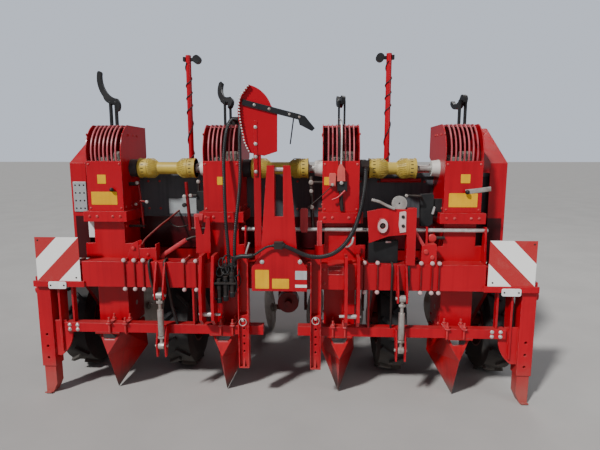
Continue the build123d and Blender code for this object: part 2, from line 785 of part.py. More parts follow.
def share_body(inset, past):
    """Closed body of an opener, drawn in by inset, and stretched past its top and its rear."""
    top = opener_top_z + past
    corners = {}
    for side in (1, -1):
        corners["face", side] = (side * (opener_face_half - inset), opener_face_y + inset, top)
        corners["shoulder", side] = (side * (opener_wing_half - inset), opener_rear_y + past, top)
        corners["wing", side] = (side * (opener_wing_half - inset), opener_wing_y + past,
                                 opener_wing_z + inset)
    corners["ridge"] = (0, opener_ridge_y + 2.4 * inset, opener_ridge_z + inset)
    corners["tip"] = (0, opener_tip_y + 3 * inset, opener_tip_z + 2 * inset)
    outlines = [
        [("face", 1), ("face", -1), "ridge"],
        [("face", 1), ("face", -1), ("shoulder", -1), ("shoulder", 1)],
        [("shoulder", 1), ("shoulder", -1), ("wing", -1), ("wing", 1)],
        [("wing", 1), ("wing", -1), "tip"],
    ]
    for side in (1, -1):
        outlines.append([("face", side), ("shoulder", side), ("wing", side)])
        outlines.append([("face", side), ("wing", side), "ridge"])
        outlines.append(["ridge", ("wing", side), "tip"])
    faces = [Face(Wire.make_polygon([corners[name] for name in outline])) for outline in outlines]
    return Solid(Shell(faces))


def build_openers():
    opener = share_body(0, 0) - share_body(opener_wall, 40)
    opener += block(-opener_face_half, opener_face_half, bar_front_y, bar_back_y, opener_top_z - plate,
                    bar_bottom_z)
    for number, x in enumerate(rows):
        save(f"furrow_opener_{row_count - number}", Pos(x, 0, 0) * opener)


def guard(x0, x1):
    """A driveshaft guard with a bell at each end and a waist between."""
    bell, taper = guard_bell_length, guard_taper_length
    line = [
        (x0, 0), (x0, guard_bell_radius - 8), (x0 + 10, guard_bell_radius), (x0 + bell, guard_bell_radius),
        (x0 + bell + taper, guard_waist_radius), (x1 - bell - taper, guard_waist_radius),
        (x1 - bell, guard_bell_radius), (x1, guard_bell_radius), (x1, 0),
    ]
    return Pos(0, belt_y, upper_axis_z) * revolve(Polygon(*line, align=None), Axis.X)


def build_driveline():
    """Guarded shafts from element to element, and the bare cross shaft above the beam."""
    guards, cones = [], []
    for (left, right), (start, end) in zip(zip(rows, rows[1:]), guard_gaps):
        x0, x1 = left + head_half, right - head_half
        guards.append(guard(x0 + start, x1 - end))
        cone = Polygon((x1 - cone_length, 0), (x1 - cone_length, 48), (x1, 56), (x1, 0), align=None)
        cones.append(Pos(0, belt_y, upper_axis_z) * revolve(cone, Axis.X))
        cones.append(x_bar(x0, x0 + collar_length, belt_y, upper_axis_z, collar_radius))
    save("shaft_guards", *guards)
    save("guard_cones", *cones)
    save("cross_shaft", x_bar(cross_shaft_left_x, cross_shaft_right_x, cross_shaft_y, cross_shaft_z,
                              cross_shaft_radius))
    brackets = []
    for x in cross_shaft_rests:
        low_z = beam_top_z if x < beam_half_length - hanger_thickness else end_top_z
        rest = side_slab(
            [
                (cross_shaft_y - 45, low_z), (cross_shaft_y + 20, low_z),
                (cross_shaft_y + 20, cross_shaft_z + 24), (cross_shaft_y - 24, cross_shaft_z + 24),
            ],
            x, x + hanger_thickness,
        )
        brackets.append(rest - x_bar(x - 1, x + hanger_thickness + 1, cross_shaft_y, cross_shaft_z,
                                     cross_shaft_radius))
    front = console_y - console_thickness
    console = front_slab(
        [
            (console_left_x + 14, 1042), (console_left_x + 130, 1085), (console_post_x, 1096),
            (console_post_x, console_top_z), (console_left_x + 90, console_top_z + 6),
            (console_left_x, console_top_z - 12),
        ],
        front, console_y,
    )
    console += block(console_post_x, console_post_x + console_post_width, front, console_y + 40, beam_top_z,
                     console_top_z + 8)
    console += extrude(
        front_plane(front) * Pos(console_boss_x, console_boss_z) * Rot(0, 0, 90) * SlotOverall(92, 60), 10,
        dir=(0, -1, 0))
    console -= y_bar(console_boss_x, front - 20, console_y + 1, console_boss_z, 17)
    for x, z in ((console_right_x + 22, 1214), (console_right_x + 10, 1166)):
        console -= y_bar(x, front - 1, console_y + 1, z, 11)
    brackets.append(console)
    notch = [(fork_x - 28, fork_top_z + 1), (fork_x + 28, fork_top_z + 1), (fork_x + 6, fork_top_z - 110),
             (fork_x - 6, fork_top_z - 110)]
    fork = block(fork_x - fork_half, fork_x + fork_half, beam_front_y + 30, beam_front_y + 42,
                 link_plate_top_z, fork_top_z)
    brackets.append(fork - front_slab(notch, beam_front_y + 29, beam_front_y + 43))
    save("shaft_brackets", *brackets)


def build_wheels():
    """Ground wheels with lugged tyres on dished rims, each on an arm behind the beam."""
    tread = wheel_radius - tread_depth
    shoulder = tyre_half - tyre_shoulder
    tyre = revolve(Polygon(
        (-rim_half, rim_radius), (rim_half, rim_radius), (tyre_half, tyre_bulge_radius), (shoulder, tread),
        (-shoulder, tread), (-tyre_half, tyre_bulge_radius), align=None,
    ), Axis.X)
    lug_length = (tyre_half - lug_end_gap) / math.cos(math.radians(lug_angle))
    lug = Rot(0, 0, lug_angle) * block(
        -lug_overlap, lug_length, -lug_thickness / 2, lug_thickness / 2, tread - lug_root, wheel_radius + lug_root,
    )
    lug &= x_bar(-tyre_half, tyre_half, 0, 0, wheel_radius)
    step = 360 / lug_count
    for index in range(lug_count):
        tyre += Rot(index * step, 0, 0) * lug
        tyre += Rot((index + 0.5) * step, 0, 0) * lug.mirror(Plane.YZ)
    rim = revolve(Polygon(
        (-hub_half, axle_radius + axle_fit), (hub_half, axle_radius + axle_fit), (hub_half, hub_radius),
        (plate, hub_radius), (plate + 24, rim_radius - rim_wall), (rim_half, rim_radius - rim_wall),
        (rim_half, rim_radius),
        (-rim_half, rim_radius), (-rim_half, rim_radius - rim_wall), (18, rim_radius - rim_wall),
        (-plate, hub_radius),
        (-hub_half, hub_radius), align=None,
    ), Axis.X)
    for index in range(5):
        angle = math.radians(72 * index)
        rim -= x_bar(-rim_half, rim_half, wheel_bolt_circle * math.cos(angle),
                     wheel_bolt_circle * math.sin(angle),
                     wheel_hole_radius)
    for number, x in enumerate(wheel_xs):
        place = Pos(x, wheel_y, wheel_radius) * (Rot(0, 0, 180) if x < 0 else Rot(0, 0, 0))
        save(f"tyre_{row_count - number}", place * tyre)
        save(f"rim_{row_count - number}", place * rim)
    arms = []
    for x in wheel_xs[row_count // 2:]:
        x0 = x - tyre_half - arm_clearance - arm_thickness
        on_beam = x0 + arm_thickness < beam_half_length
        top_z, low_z = (beam_top_z, beam_bottom_z) if on_beam else (end_top_z, end_bottom_z)
        arm = side_slab(
            [
                (beam_back_y, top_z), (beam_back_y + 60, top_z), (wheel_y - 20, wheel_radius + 90),
                (wheel_y + 55, wheel_radius + 20), (wheel_y + 40, wheel_radius - 50),
                (wheel_y - 40, wheel_radius - 55),
                (beam_back_y, low_z),
            ],
            x0, x0 + arm_thickness,
        )
        arm += x_bar(x0, x + hub_half - 5, wheel_y, wheel_radius, axle_radius)
        arm += x_bar(x0, x - hub_half - 8, wheel_y, wheel_radius, axle_radius + 14)
        arms += both_sides(arm)
    save("wheel_arms", *arms)


def build_discs():
    """Dished covering discs behind each row, toed in, on stalks from the tool tube."""
    disc = revolve(Polygon(
        (-disc_hub_half, disc_pin_radius + axle_fit), (disc_hub_half, disc_pin_radius + axle_fit),
        (disc_hub_half, disc_hub_radius), (2, disc_hub_radius), (2, 70), (disc_dish, disc_radius),
        (disc_dish - disc_thickness, disc_radius), (2 - disc_thickness, 72),
        (2 - disc_thickness, disc_hub_radius),
        (-disc_hub_half, disc_hub_radius), align=None,
    ), Axis.X)
    tube_back = tool_tube_y + tool_tube_size
    tube_z = tool_tube_bottom_z + tool_tube_size / 2
    toe = math.radians(disc_toe)
    arms = []
    number = 1
    for x in reversed(rows):
        for side in (1, -1):
            centre = Vector(x + side * disc_offset, tool_tube_y + disc_trail, disc_radius)
            turn = Rot(0, 0, disc_toe) if side > 0 else Rot(0, 0, 180 - disc_toe)
            save(f"covering_disc_{number}", Pos(*centre) * turn * Rot(0, 180, 0) * disc)
            outward = Vector(side * math.cos(toe), math.sin(toe), 0)
            pin_end = centre + outward * disc_pin_reach
            x0, x1 = pin_end.X - disc_arm_half, pin_end.X + disc_arm_half
            arm = block(x0, x1, pin_end.Y - 20, pin_end.Y + 20, disc_radius - 24, disc_radius + 200)
            arm += side_slab(
                [
                    (tube_back, tube_z + 30), (tube_back, tube_z - 30), (pin_end.Y - 20, disc_radius + 150),
                    (pin_end.Y + 20, disc_radius + 150), (pin_end.Y + 20, disc_radius + 200),
                ],
                x0, x1,
            )
            arm += bar(centre - outward * (disc_hub_half - 2), pin_end, disc_pin_radius)
            arm += bar(centre + outward * (disc_hub_half + 3), pin_end, disc_pin_radius + 9)
            arms.append(arm)
            number += 1
    save("disc_arms", *arms)


def build_rear_frame():
    """Rails back from the beam, the cross tube under the hopper, and the tool tube for the discs."""
    tube_z = tool_tube_bottom_z + tool_tube_size
    frame = block(-tool_tube_half, tool_tube_half, tool_tube_y, tool_tube_y + tool_tube_size,
                  tool_tube_bottom_z, tube_z)
    frame += block(-cross_tube_half, cross_tube_half, cross_tube_y, cross_tube_y + cross_tube_size,
                   cross_tube_top_z - cross_tube_size, cross_tube_top_z)
    for x in rail_xs:
        x0, x1 = x - rail_width / 2, x + rail_width / 2
        rail = block(x0, x1, beam_back_y, hopper_knee_y, rail_bottom_z, rail_top_z)
        rail += block(x0, x1, tool_tube_y, tool_tube_y + tool_tube_size, tube_z, rail_bottom_z)
        for piece in both_sides(rail):
            frame += piece
    middle_y = cross_tube_y + cross_tube_size / 2
    frame += block(gearbox_x - rail_width / 2, gearbox_x + rail_width / 2, middle_y - 12, middle_y + 12,
                   gearbox_z, cross_tube_top_z - cross_tube_size)
    frame += y_bar(gearbox_x, middle_y - gearbox_length / 2, middle_y + gearbox_length / 2, gearbox_z,
                   gearbox_radius)
    frame += y_bar(gearbox_x, middle_y - gearbox_length, middle_y - gearbox_length / 2, gearbox_z,
                   gearbox_radius / 3)
    save("rear_frame", frame)


def floor_z(y):
    """Top of the hopper floor at a place along the machine."""
    if y < hopper_knee_y:
        part = (y - element_rear_y) / (hopper_knee_y - element_rear_y)
        return hopper_floor_z + part * (hopper_knee_z - hopper_floor_z)
    part = (y - hopper_knee_y) / (rear_y - hopper_knee_y)
    return hopper_knee_z + part * (hopper_rear_bottom_z - hopper_knee_z)


def row_gaps(half):
    """Stretches of the hopper's front between the elements, which are each as wide as twice half."""
    edges = [-hopper_half + hopper_wall]
    for x in rows:
        edges += [x - half, x + half]
    edges.append(hopper_half - hopper_wall)
    return list(zip(edges[0::2], edges[1::2]))


def build_hopper():
    w = hopper_wall
    inner = hopper_half - w
    whole = side_slab(
        [
            (element_rear_y, hopper_floor_z), (hopper_knee_y, hopper_knee_z),
            (rear_y - w, hopper_rear_bottom_z),
            (rear_y - w, hopper_rim_z), (rear_y, hopper_rim_z), (rear_y, hopper_rear_bottom_z - w),
            (hopper_knee_y, hopper_knee_z - w), (element_rear_y, hopper_floor_z - w),
        ],
        -inner, inner,
    )
    side_rear_y = hopper_knee_y + 80
    side = side_slab(
        [
            (side_front_y, rail_top_z), (side_front_y, side_front_top_z), (side_peak_front_y, side_peak_z),
            (side_peak_rear_y, side_peak_z), (side_rear_y, hopper_rim_z), (rear_y, hopper_rim_z),
            (rear_y, hopper_rear_bottom_z - w), (hopper_knee_y, hopper_knee_z - w),
            (element_rear_y, rail_top_z),
        ],
        inner, hopper_half,
    )
    side += block(hopper_half - side_flange, hopper_half, side_front_y - w, side_front_y, rail_top_z,
                  side_front_top_z)
    side += side_slab(
        [
            (side_front_y - w, side_front_top_z - w), (side_front_y, side_front_top_z - w),
            (side_peak_front_y, side_peak_z - w), (side_peak_front_y, side_peak_z),
            (side_front_y - w, side_front_top_z),
        ],
        hopper_half - side_flange, hopper_half,
    )
    side += block(inner - hopper_rim_size, inner, side_rear_y, rear_y, hopper_rim_z - hopper_rim_size,
                  hopper_rim_z)
    for piece in both_sides(side):
        whole += piece
    whole += block(-inner, inner, rear_y - w - hopper_rim_size, rear_y, hopper_rim_z - hopper_rim_size,
                   hopper_rim_z)
    for x0, x1 in row_gaps(body_half):
        whole += block(x0, x1, element_rear_y - w, element_rear_y, hopper_floor_z - w, flange_bottom_z)
    for y, low_z in ((cross_tube_y + 15, cross_tube_top_z), (hopper_knee_y - 70, rail_top_z)):
        whole += side_slab([(y, low_z), (y + 50, low_z), (y + 50, floor_z(y + 50) - w / 2),
                            (y, floor_z(y) - w / 2)], -inner, inner)
    save("hopper", whole)
    aprons = []
    for x0, x1 in row_gaps(head_half):
        sheet = block(x0, x1, element_rear_y - w, element_rear_y, flange_bottom_z, hopper_front_rim_z)
        aprons.append(sheet + block(x0, x1, element_rear_y - hopper_rim_size, element_rear_y,
                                    hopper_front_rim_z, hopper_front_rim_z + hopper_rim_size))
    save("hopper_aprons", *aprons)


def build_hose_guide():
    """A sheet with a curved rim, drawn from the top of its post, and the black arm across it."""
    edges = [
        Line((124, -338), (126, -115)),
        Line((126, -115), (88, -64)),
        ThreePointArc((88, -64), (43, 8), (-39, 54)),
        ThreePointArc((-39, 54), (-104, -60), (-90, -199)),
        ThreePointArc((-90, -199), (-75, -280), (-44, -346)),
        Line((-44, -346), (44, -364)),
        Line((44, -364), (124, -338)),
    ]
    rim_edges = [
        ThreePointArc((-39, 54), (-104, -60), (-90, -199)),
        Line((-90, -199), (-85, -198)),
        ThreePointArc((-85, -198), (-99, -61), (-35, 50)),
        Line((-35, 50), (-39, 54)),
    ]
    place = Pos(post_x, 0, post_top_z)
    sheet = front_plane(post_y)
    guide = place * extrude(sheet * make_face(Wire(edges)), guide_thickness, dir=(0, -1, 0))
    guide += place * extrude(sheet * make_face(Wire(rim_edges)), guide_thickness + guide_rim,
                             dir=(0, -1, 0))
    post_half = post_width / 2
    guide += block(post_x - post_half, post_x + post_half, post_y, post_y + post_depth, beam_top_z,
                   post_top_z)
    save("hose_guide", guide)
    half = arm_bar_height / 2
    back = post_y - guide_thickness
    arm = front_slab(
        [
            (arm_start_x, arm_start_z + half), (arm_end_x, arm_end_z + half),
            (arm_end_x + 40, arm_end_z + 4),
            (arm_end_x + 100, arm_end_z - 68), (arm_end_x + 83, arm_end_z - 85),
            (arm_end_x + 8, arm_end_z - 47),
            (arm_end_x, arm_end_z - half),
            (arm_start_x, arm_start_z - half),
        ],
        back - arm_bar_thickness, back,
    )
    rod_x = arm_end_x - 26
    rod_y = back - arm_bar_thickness - 4
    arm += bar((rod_x, rod_y, arm_end_z), (rod_x - 22, rod_y, arm_end_z - 162), 4)
    save("hose_arm", arm)


def build_lamps():
    """Round lamp poles clamped to the inside of the hopper's front wall, each with a lamp at its top."""
    poles, lamps = [], []
    for x in pole_xs:
        inward = 1 if x < 0 else -1
        pole = bar((x, pole_y, pole_bottom_z), (x, pole_y, pole_top_z), pole_radius)
        for z in (pole_bottom_z + 20, hopper_front_rim_z - 60):
            pole += block(x - pole_radius - 8, x + pole_radius + 8, element_rear_y, pole_y, z, z + 40)
        poles.append(pole)
        lamp_x = x + inward * (pole_radius + lamp_bracket + lamp_radius)
        lamp_z = pole_top_z - lamp_radius
        lamp = y_bar(lamp_x, pole_y - lamp_depth / 2, pole_y + lamp_depth / 2, lamp_z, lamp_radius)
        lamp += block(min(x + inward * pole_radius, lamp_x), max(x + inward * pole_radius, lamp_x),
                      pole_y - 10, pole_y + 10, lamp_z - 10, lamp_z + 10)
        outer_x = x - inward * (pole_radius + 16)
        lamp += block(min(x - inward * pole_radius, outer_x), max(x - inward * pole_radius, outer_x),
                      pole_y - 14, pole_y + 14, lamp_z - 12, lamp_z + 16)
        lamps.append(lamp)
    save("lamp_poles", *poles)
    save("work_lamps", *lamps)


def build_levers():
    """Curved levers on twin straps over the elements, each leaning back by its own setting."""
    edges = [
        Line((18, 96), (40, 104)),
        ThreePointArc((40, 104), (48, 150), (30, 184)),
        ThreePointArc((30, 184), (-8, 196), (-38, 224)),
        ThreePointArc((-38, 224), (-64, 284), (-66, 348)),
        ThreePointArc((-66, 348), (-80, 362), (-94, 348)),
        ThreePointArc((-94, 348), (-92, 262), (-62, 196)),
        ThreePointArc((-62, 196), (-26, 152), (-12, 148)),
        Line((-12, 148), (12, 148)),
        Line((12, 148), (18, 96)),
    ]
    blade = extrude(front_plane(lever_thickness / 2) * make_face(Wire(edges)), lever_thickness,
                    dir=(0, -1, 0))
    straps = block(-lever_strap_gap - lever_strap_width, lever_strap_gap + lever_strap_width, -22, 22, 0,
                   plate)
    for x in (-lever_strap_gap - lever_strap_width, lever_strap_gap):
        straps += block(x, x + lever_strap_width, -14, 14, 0, lever_strap_height + 12)
    straps += x_bar(-lever_strap_gap, lever_strap_gap, 0, lever_strap_height, 8)
    levers = []
    for x, (shift, turn, lean) in zip(rows, lever_settings):
        raised = Pos(0, 0, lever_strap_height)
        turned = raised * Rot(-lean, 0, 0) * Rot(0, 0, turn) * Pos(0, 0, -lever_strap_height) * blade
        levers.append(Pos(x + shift, lever_y, head_top_z) * (straps + turned))
    save("belt_levers", *levers)


def tube_along(points, diameter):
    """A hose as straight runs joined by tangent arcs, and the radius of each arc."""
    stops = [Vector(*point) for point in points]
    radii = []
    for before, here, after in zip(stops, stops[1:], stops[2:]):
        turn = math.radians((here - before).get_angle(after - here))
        radii.append(0.45 * min((here - before).length, (after - here).length) / math.tan(turn / 2))
    path = FilletPolyline(*stops, radius=radii)
    return sweep(Plane(origin=stops[0], z_dir=stops[1] - stops[0]) * Circle(diameter / 2), path=path), radii


def ferrule(stop, before, radius, length):
    """A round fitting that meets the end of a hose face to face and runs on in its direction."""
    stop, before = Vector(*stop), Vector(*before)
    return bar(stop, stop + (stop - before).normalized() * length, radius)


def coupler(stop, before):
    """A hydraulic coupler at the end of a hose: a body with a nut round it."""
    stop, before = Vector(*stop), Vector(*before)
    onward = (stop - before).normalized()
    return ferrule(stop, before, coupler_radius, coupler_length) + bar(
        stop + onward * 40, stop + onward * 70, coupler_nut_radius)


def build_hoses():
    """The hoses, the clamps that they leave, and the holder on the beam with the couplers at their ends."""
    routes = {}
    for name, (diameter, points) in hose_routes.items():
        routes[name] = diameter, [(x, beam_front_y + behind, z) for x, behind, z in points]
        hose, radii = tube_along(routes[name][1], diameter)
        print(name, "bend radii", [round(radius) for radius in radii])
        save(name, hose)
    holder = block(holder_left_x, holder_right_x, beam_front_y - plate, beam_front_y, holder_z - 60,
                   holder_z + 90)
    holder += block(holder_left_x, holder_right_x, beam_front_y - 85, beam_front_y, holder_z,
                    holder_z + holder_thickness)
    holder += coupler(*routes["hose_1"][1][:-3:-1])
    holder += coupler(*routes["hose_2"][1][:-3:-1])
    holder += coupler(*routes["hose_4"][1][:2])
    for x, behind, top_z in parked_couplers:
        y = beam_front_y + behind
        holder += coupler((x, y, top_z), (x, y, top_z + 1))
    clamp_x = rows[1] + lever_strap_gap + lever_strap_width + 3
    start = routes["hose_1"][1][0]
    top_clamp = block(clamp_x, clamp_x + 95, start[1] + 12, start[1] + 40, head_top_z, start[2] + 25)
    for name in ("hose_1", "hose_2"):
        diameter, points = routes[name]
        top_clamp += ferrule(*points[:2], diameter / 2 + ferrule_wall, ferrule_length)
    diameter, points = routes["hose_3"]
    start, end = points[0], points[-1]
    side_clamp = block(rows[2] + head_half, start[0] + 20, start[1] - 20, start[1] + 20, start[2] + 10,
                       start[2] + 50)
    side_clamp += ferrule(*points[:2], diameter / 2 + ferrule_wall, ferrule_length)
    clip = block(-end[0] + 10, end[0] - 10, end[1] - 16, headstock_front_y, end[2] - 18, end[2] + 24)
    clip += ferrule(*points[:-3:-1], diameter / 2 + ferrule_wall, ferrule_length)
    diameter, points = routes["hose_4"]
    clip += ferrule(*points[:-3:-1], diameter / 2 + ferrule_wall, ferrule_length)
    save("hose_couplers", holder, top_clamp, side_clamp, clip)


build_beam()
build_sleeves()
build_legs()
build_hitch()
build_lower_bar()
build_spindles()
build_housing()
build_belts()
build_rods()
build_openers()
build_driveline()
build_wheels()
build_discs()
build_rear_frame()
build_hopper()
build_hose_guide()
build_lamps()
build_levers()
build_hoses()
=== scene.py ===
import math
import bpy
import numpy as np
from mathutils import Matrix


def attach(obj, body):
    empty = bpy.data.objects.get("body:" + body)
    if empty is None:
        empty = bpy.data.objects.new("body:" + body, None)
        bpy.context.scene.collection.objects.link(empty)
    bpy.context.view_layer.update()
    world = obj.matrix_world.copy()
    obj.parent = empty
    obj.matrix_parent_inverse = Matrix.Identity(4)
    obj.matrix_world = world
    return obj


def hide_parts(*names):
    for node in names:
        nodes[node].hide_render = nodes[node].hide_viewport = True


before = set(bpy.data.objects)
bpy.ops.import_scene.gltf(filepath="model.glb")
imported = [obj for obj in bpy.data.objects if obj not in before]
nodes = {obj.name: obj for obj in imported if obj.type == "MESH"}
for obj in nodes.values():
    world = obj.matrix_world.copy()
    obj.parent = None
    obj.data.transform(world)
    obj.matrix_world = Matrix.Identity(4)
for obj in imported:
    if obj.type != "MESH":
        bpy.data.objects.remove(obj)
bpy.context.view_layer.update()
print("stage: frame loaded,", len(nodes), "nodes")


def addObject(name, data):
    thing = bpy.data.objects.new(name, data)
    bpy.context.scene.collection.objects.link(thing)
    return thing


# Camera at the photograph's place, in front of the planter and a little right of its middle
cameraView = {"place": (0.254, -3.648, 1.551), "tilt": 81.66, "turn": 2.69, "lens": 27.28, "sensor": 36.0}
camera = addObject("camera", bpy.data.cameras.new("camera"))
camera.location = cameraView["place"]
camera.rotation_euler = (math.radians(cameraView["tilt"]), 0, math.radians(cameraView["turn"]))
camera.data.lens = cameraView["lens"]
camera.data.sensor_width = cameraView["sensor"]
bpy.context.scene.camera = camera


# Gives a node its inputs: outputs of other nodes, or plain values. A colour's fourth number is always 1
def feed(tree, node, inputs):
    for key, value in inputs.items():
        socket = node.inputs[key]
        if isinstance(value, bpy.types.NodeSocket):
            tree.links.new(value, socket)
        else:
            socket.default_value = (*value, 1) if socket.type == "RGBA" else value


def addNode(tree, kind, inputs={}, **settings):
    node = tree.nodes.new("ShaderNode" + kind)
    for key, value in settings.items():
        setattr(node, key, value)
    feed(tree, node, inputs)
    return node


def addMath(tree, operation, first, second=0.0, third=0.0, clamp=False):
    inputs = {0: first, 1: second, 2: third}
    return addNode(tree, "Math", inputs, operation=operation, use_clamp=clamp).outputs[0]


def addMix(tree, factor, first, second):
    inputs = {0: factor, 6: first, 7: second}
    return addNode(tree, "Mix", inputs, data_type="RGBA", clamp_factor=True).outputs[2]


# Turns a value into start below low and end above high, smoothly between
def addRamp(tree, value, low, high, start=0.0, end=1.0):
    inputs = {0: value, 1: low, 2: high, 3: start, 4: end}
    return addNode(tree, "MapRange", inputs, interpolation_type="SMOOTHSTEP", clamp=True).outputs[0]


def addNoise(tree, place, scale, detail=3.0, roughness=0.55):
    inputs = {"Vector": place, "Scale": scale, "Detail": detail, "Roughness": roughness}
    return addNode(tree, "TexNoise", inputs).outputs["Fac"]


def objectPlace(tree):
    return addNode(tree, "TexCoord").outputs["Object"]


def axesOf(tree, vector):
    return addNode(tree, "SeparateXYZ", {0: vector}).outputs


# A node group with the titles of its sockets by kind; returns the tree, its inputs and its end
def newGroup(name, inputs, outputs):
    tree = bpy.data.node_groups.new(name, "ShaderNodeTree")
    for side, kinds in (("INPUT", inputs), ("OUTPUT", outputs)):
        for kind, titles in kinds.items():
            for title in titles.split():
                tree.interface.new_socket(title, in_out=side, socket_type="NodeSocket" + kind)
    return tree, tree.nodes.new("NodeGroupInput").outputs, tree.nodes.new("NodeGroupOutput")


# Places a group in a material: an input takes what is given, or else the look's value of its name
def useGroup(tree, group, look, **given):
    node = addNode(tree, "Group", node_tree=group)
    values = {socket.name: given.get(socket.name, look.get(socket.name.lower())) for socket in node.inputs}
    feed(tree, node, {title: value for title, value in values.items() if value is not None})
    return node.outputs


# Edge wear: rounded normals, and a broken mask where the rounded normal leaves the flat one
def makeEdgeGroup():
    outputs = {"Float": "Mask", "Vector": "Normal"}
    tree, start, end = newGroup("edgeWear", {"Float": "Radius Wear Scale"}, outputs)
    rounded = addNode(tree, "Bevel", {"Radius": start["Radius"]}, samples=4).outputs[0]
    flat = addNode(tree, "NewGeometry").outputs["Normal"]
    close = addNode(tree, "VectorMath", {0: rounded, 1: flat}, operation="DOT_PRODUCT").outputs["Value"]
    broken = addRamp(tree, addNoise(tree, objectPlace(tree), start["Scale"], 6.0, 0.7), 0.42, 0.62)
    worn = addMath(tree, "MULTIPLY", addRamp(tree, close, 0.995, 0.90), broken)
    mask = addMath(tree, "MULTIPLY", worn, start["Wear"], clamp=True)
    feed(tree, end, {"Mask": mask, "Normal": rounded})
    return tree


# Dust: lies on faces that look up, in patches, and climbs from the ground to a height
def makeDustGroup():
    inputs = {"Color": "Color Dust", "Float": "Top Low Height Scale"}
    tree, start, end = newGroup("dustCover", inputs, {"Color": "Color", "Float": "Mask"})
    coords = addNode(tree, "TexCoord").outputs
    up, z = axesOf(tree, coords["Normal"])["Z"], axesOf(tree, coords["Object"])["Z"]
    patches = addNoise(tree, coords["Object"], start["Scale"], 5.0, 0.65)
    top = addMath(tree, "MULTIPLY", addRamp(tree, up, 0.35, 0.95), addRamp(tree, patches, 0.25, 0.75))
    rise = addMath(tree, "DIVIDE", z, start["Height"])
    rise = addMath(tree, "ADD", rise, addMath(tree, "MULTIPLY", patches, 0.8))
    low = addMath(tree, "MULTIPLY", addRamp(tree, rise, 1.5, 0.35), start["Low"])
    mask = addMath(tree, "MAXIMUM", addMath(tree, "MULTIPLY", top, start["Top"]), low, clamp=True)
    feed(tree, end, {"Color": addMix(tree, mask, start["Color"], start["Dust"]), "Mask": mask})
    return tree


# Uneven colour: broad clouds and fine upright streaks between two shades
def makeShadeGroup():
    inputs = {"Color": "Light Deep", "Float": "Scale Streaks"}
    tree, start, end = newGroup("unevenShade", inputs, {"Color": "Color", "Float": "Height"})
    place = objectPlace(tree)
    clouds = addRamp(tree, addNoise(tree, place, start["Scale"], 4.0), 0.3, 0.7)
    upright = addNode(tree, "Mapping", {"Vector": place, "Scale": (34.0, 34.0, 1.6)}).outputs[0]
    streaks = addRamp(tree, addNoise(tree, upright, 1.0, 2.0), 0.45, 0.75)
    clouds = addMath(tree, "MULTIPLY", clouds, 0.6)
    amount = addMath(tree, "MULTIPLY_ADD", streaks, start["Streaks"], clouds, clamp=True)
    color = addMix(tree, amount, start["Light"], start["Deep"])
    feed(tree, end, {"Color": color, "Height": addNoise(tree, place, 420.0, 2.0)})
    return tree


# Rubber and cast skins: a grain height, and a paler bloom in patches
def makeGrainGroup():
    inputs = {"Color": "Base Bloom", "Float": "Grain Amount"}
    tree, start, end = newGroup("grainSkin", inputs, {"Color": "Color", "Float": "Height Rough"})
    place = objectPlace(tree)
    patches = addRamp(tree, addNoise(tree, place, 7.0, 5.0, 0.6), 0.4, 0.72)
    amount = addMath(tree, "MULTIPLY", patches, start["Amount"])
    feed(tree, end, {"Color": addMix(tree, amount, start["Base"], start["Bloom"]),
                     "Height": addNoise(tree, place, start["Grain"], 4.0, 0.7),
                     "Rough": addMath(tree, "MULTIPLY_ADD", patches, 0.2, 0.5)})
    return tree


edgeGroup, dustGroup = makeEdgeGroup(), makeDustGroup()
shadeGroup, grainGroup = makeShadeGroup(), makeGrainGroup()


# A material with its Principled shader; fixed values stand on the shader itself
def newMaterial(name, fixed={}):
    material = bpy.data.materials.new(name)
    material.use_nodes = True
    shader = material.node_tree.nodes["Principled BSDF"]
    feed(material.node_tree, shader, fixed)
    return material, material.node_tree, shader


def addBump(tree, shader, height, strength, distance, edge=None):
    inputs = {"Height": height, "Strength": strength, "Distance": distance}
    if edge is not None:
        inputs["Normal"] = edge["Normal"]
    feed(tree, shader, {"Normal": addNode(tree, "Bump", inputs).outputs[0]})


# Painted metal: uneven paint, worn edges down to primer or steel, dust on top and near the ground. A look
# with a shaded wall gets a painted shade, a flat dark colour, in front of Y, below Z and within X on both
# sides
def makePaint(name, look):
    fixed = {"Coat Weight": look["coat"], "Coat Roughness": 0.12, "Specular IOR Level": 0.28}
    material, tree, shader = newMaterial(name, fixed)
    shade = useGroup(tree, shadeGroup, look)
    color = shade["Color"]
    # Painted shade: the wall's dark colour stands in for the shade that falls there, not a paint of its own
    if "wall" in look:
        wall, axes = look["wall"], axesOf(tree, objectPlace(tree))
        front = addRamp(tree, axes["Y"], wall["y"] + 0.01, wall["y"])
        below = addRamp(tree, axes["Z"], wall["z"] + 0.01, wall["z"])
        inside = addRamp(tree, addMath(tree, "ABSOLUTE", axes["X"]), wall["x"] + 0.005, wall["x"])
        mask = addMath(tree, "MULTIPLY", addMath(tree, "MULTIPLY", front, below), inside)
        color = addMix(tree, mask, color, wall["color"])
    edge = useGroup(tree, edgeGroup, look, Scale=22.0)
    worn = addMix(tree, edge["Mask"], color, look["under"])
    dust = useGroup(tree, dustGroup, look, Color=worn, Scale=7.0)
    rough = addMath(tree, "MULTIPLY_ADD", dust["Mask"], 0.5, look["rough"])
    rough = addMath(tree, "MULTIPLY_ADD", edge["Mask"], 0.2, rough, clamp=True)
    feed(tree, shader, {"Base Color": dust["Color"], "Roughness": rough})
    addBump(tree, shader, shade["Height"], 0.12, 0.002, edge)
    return material


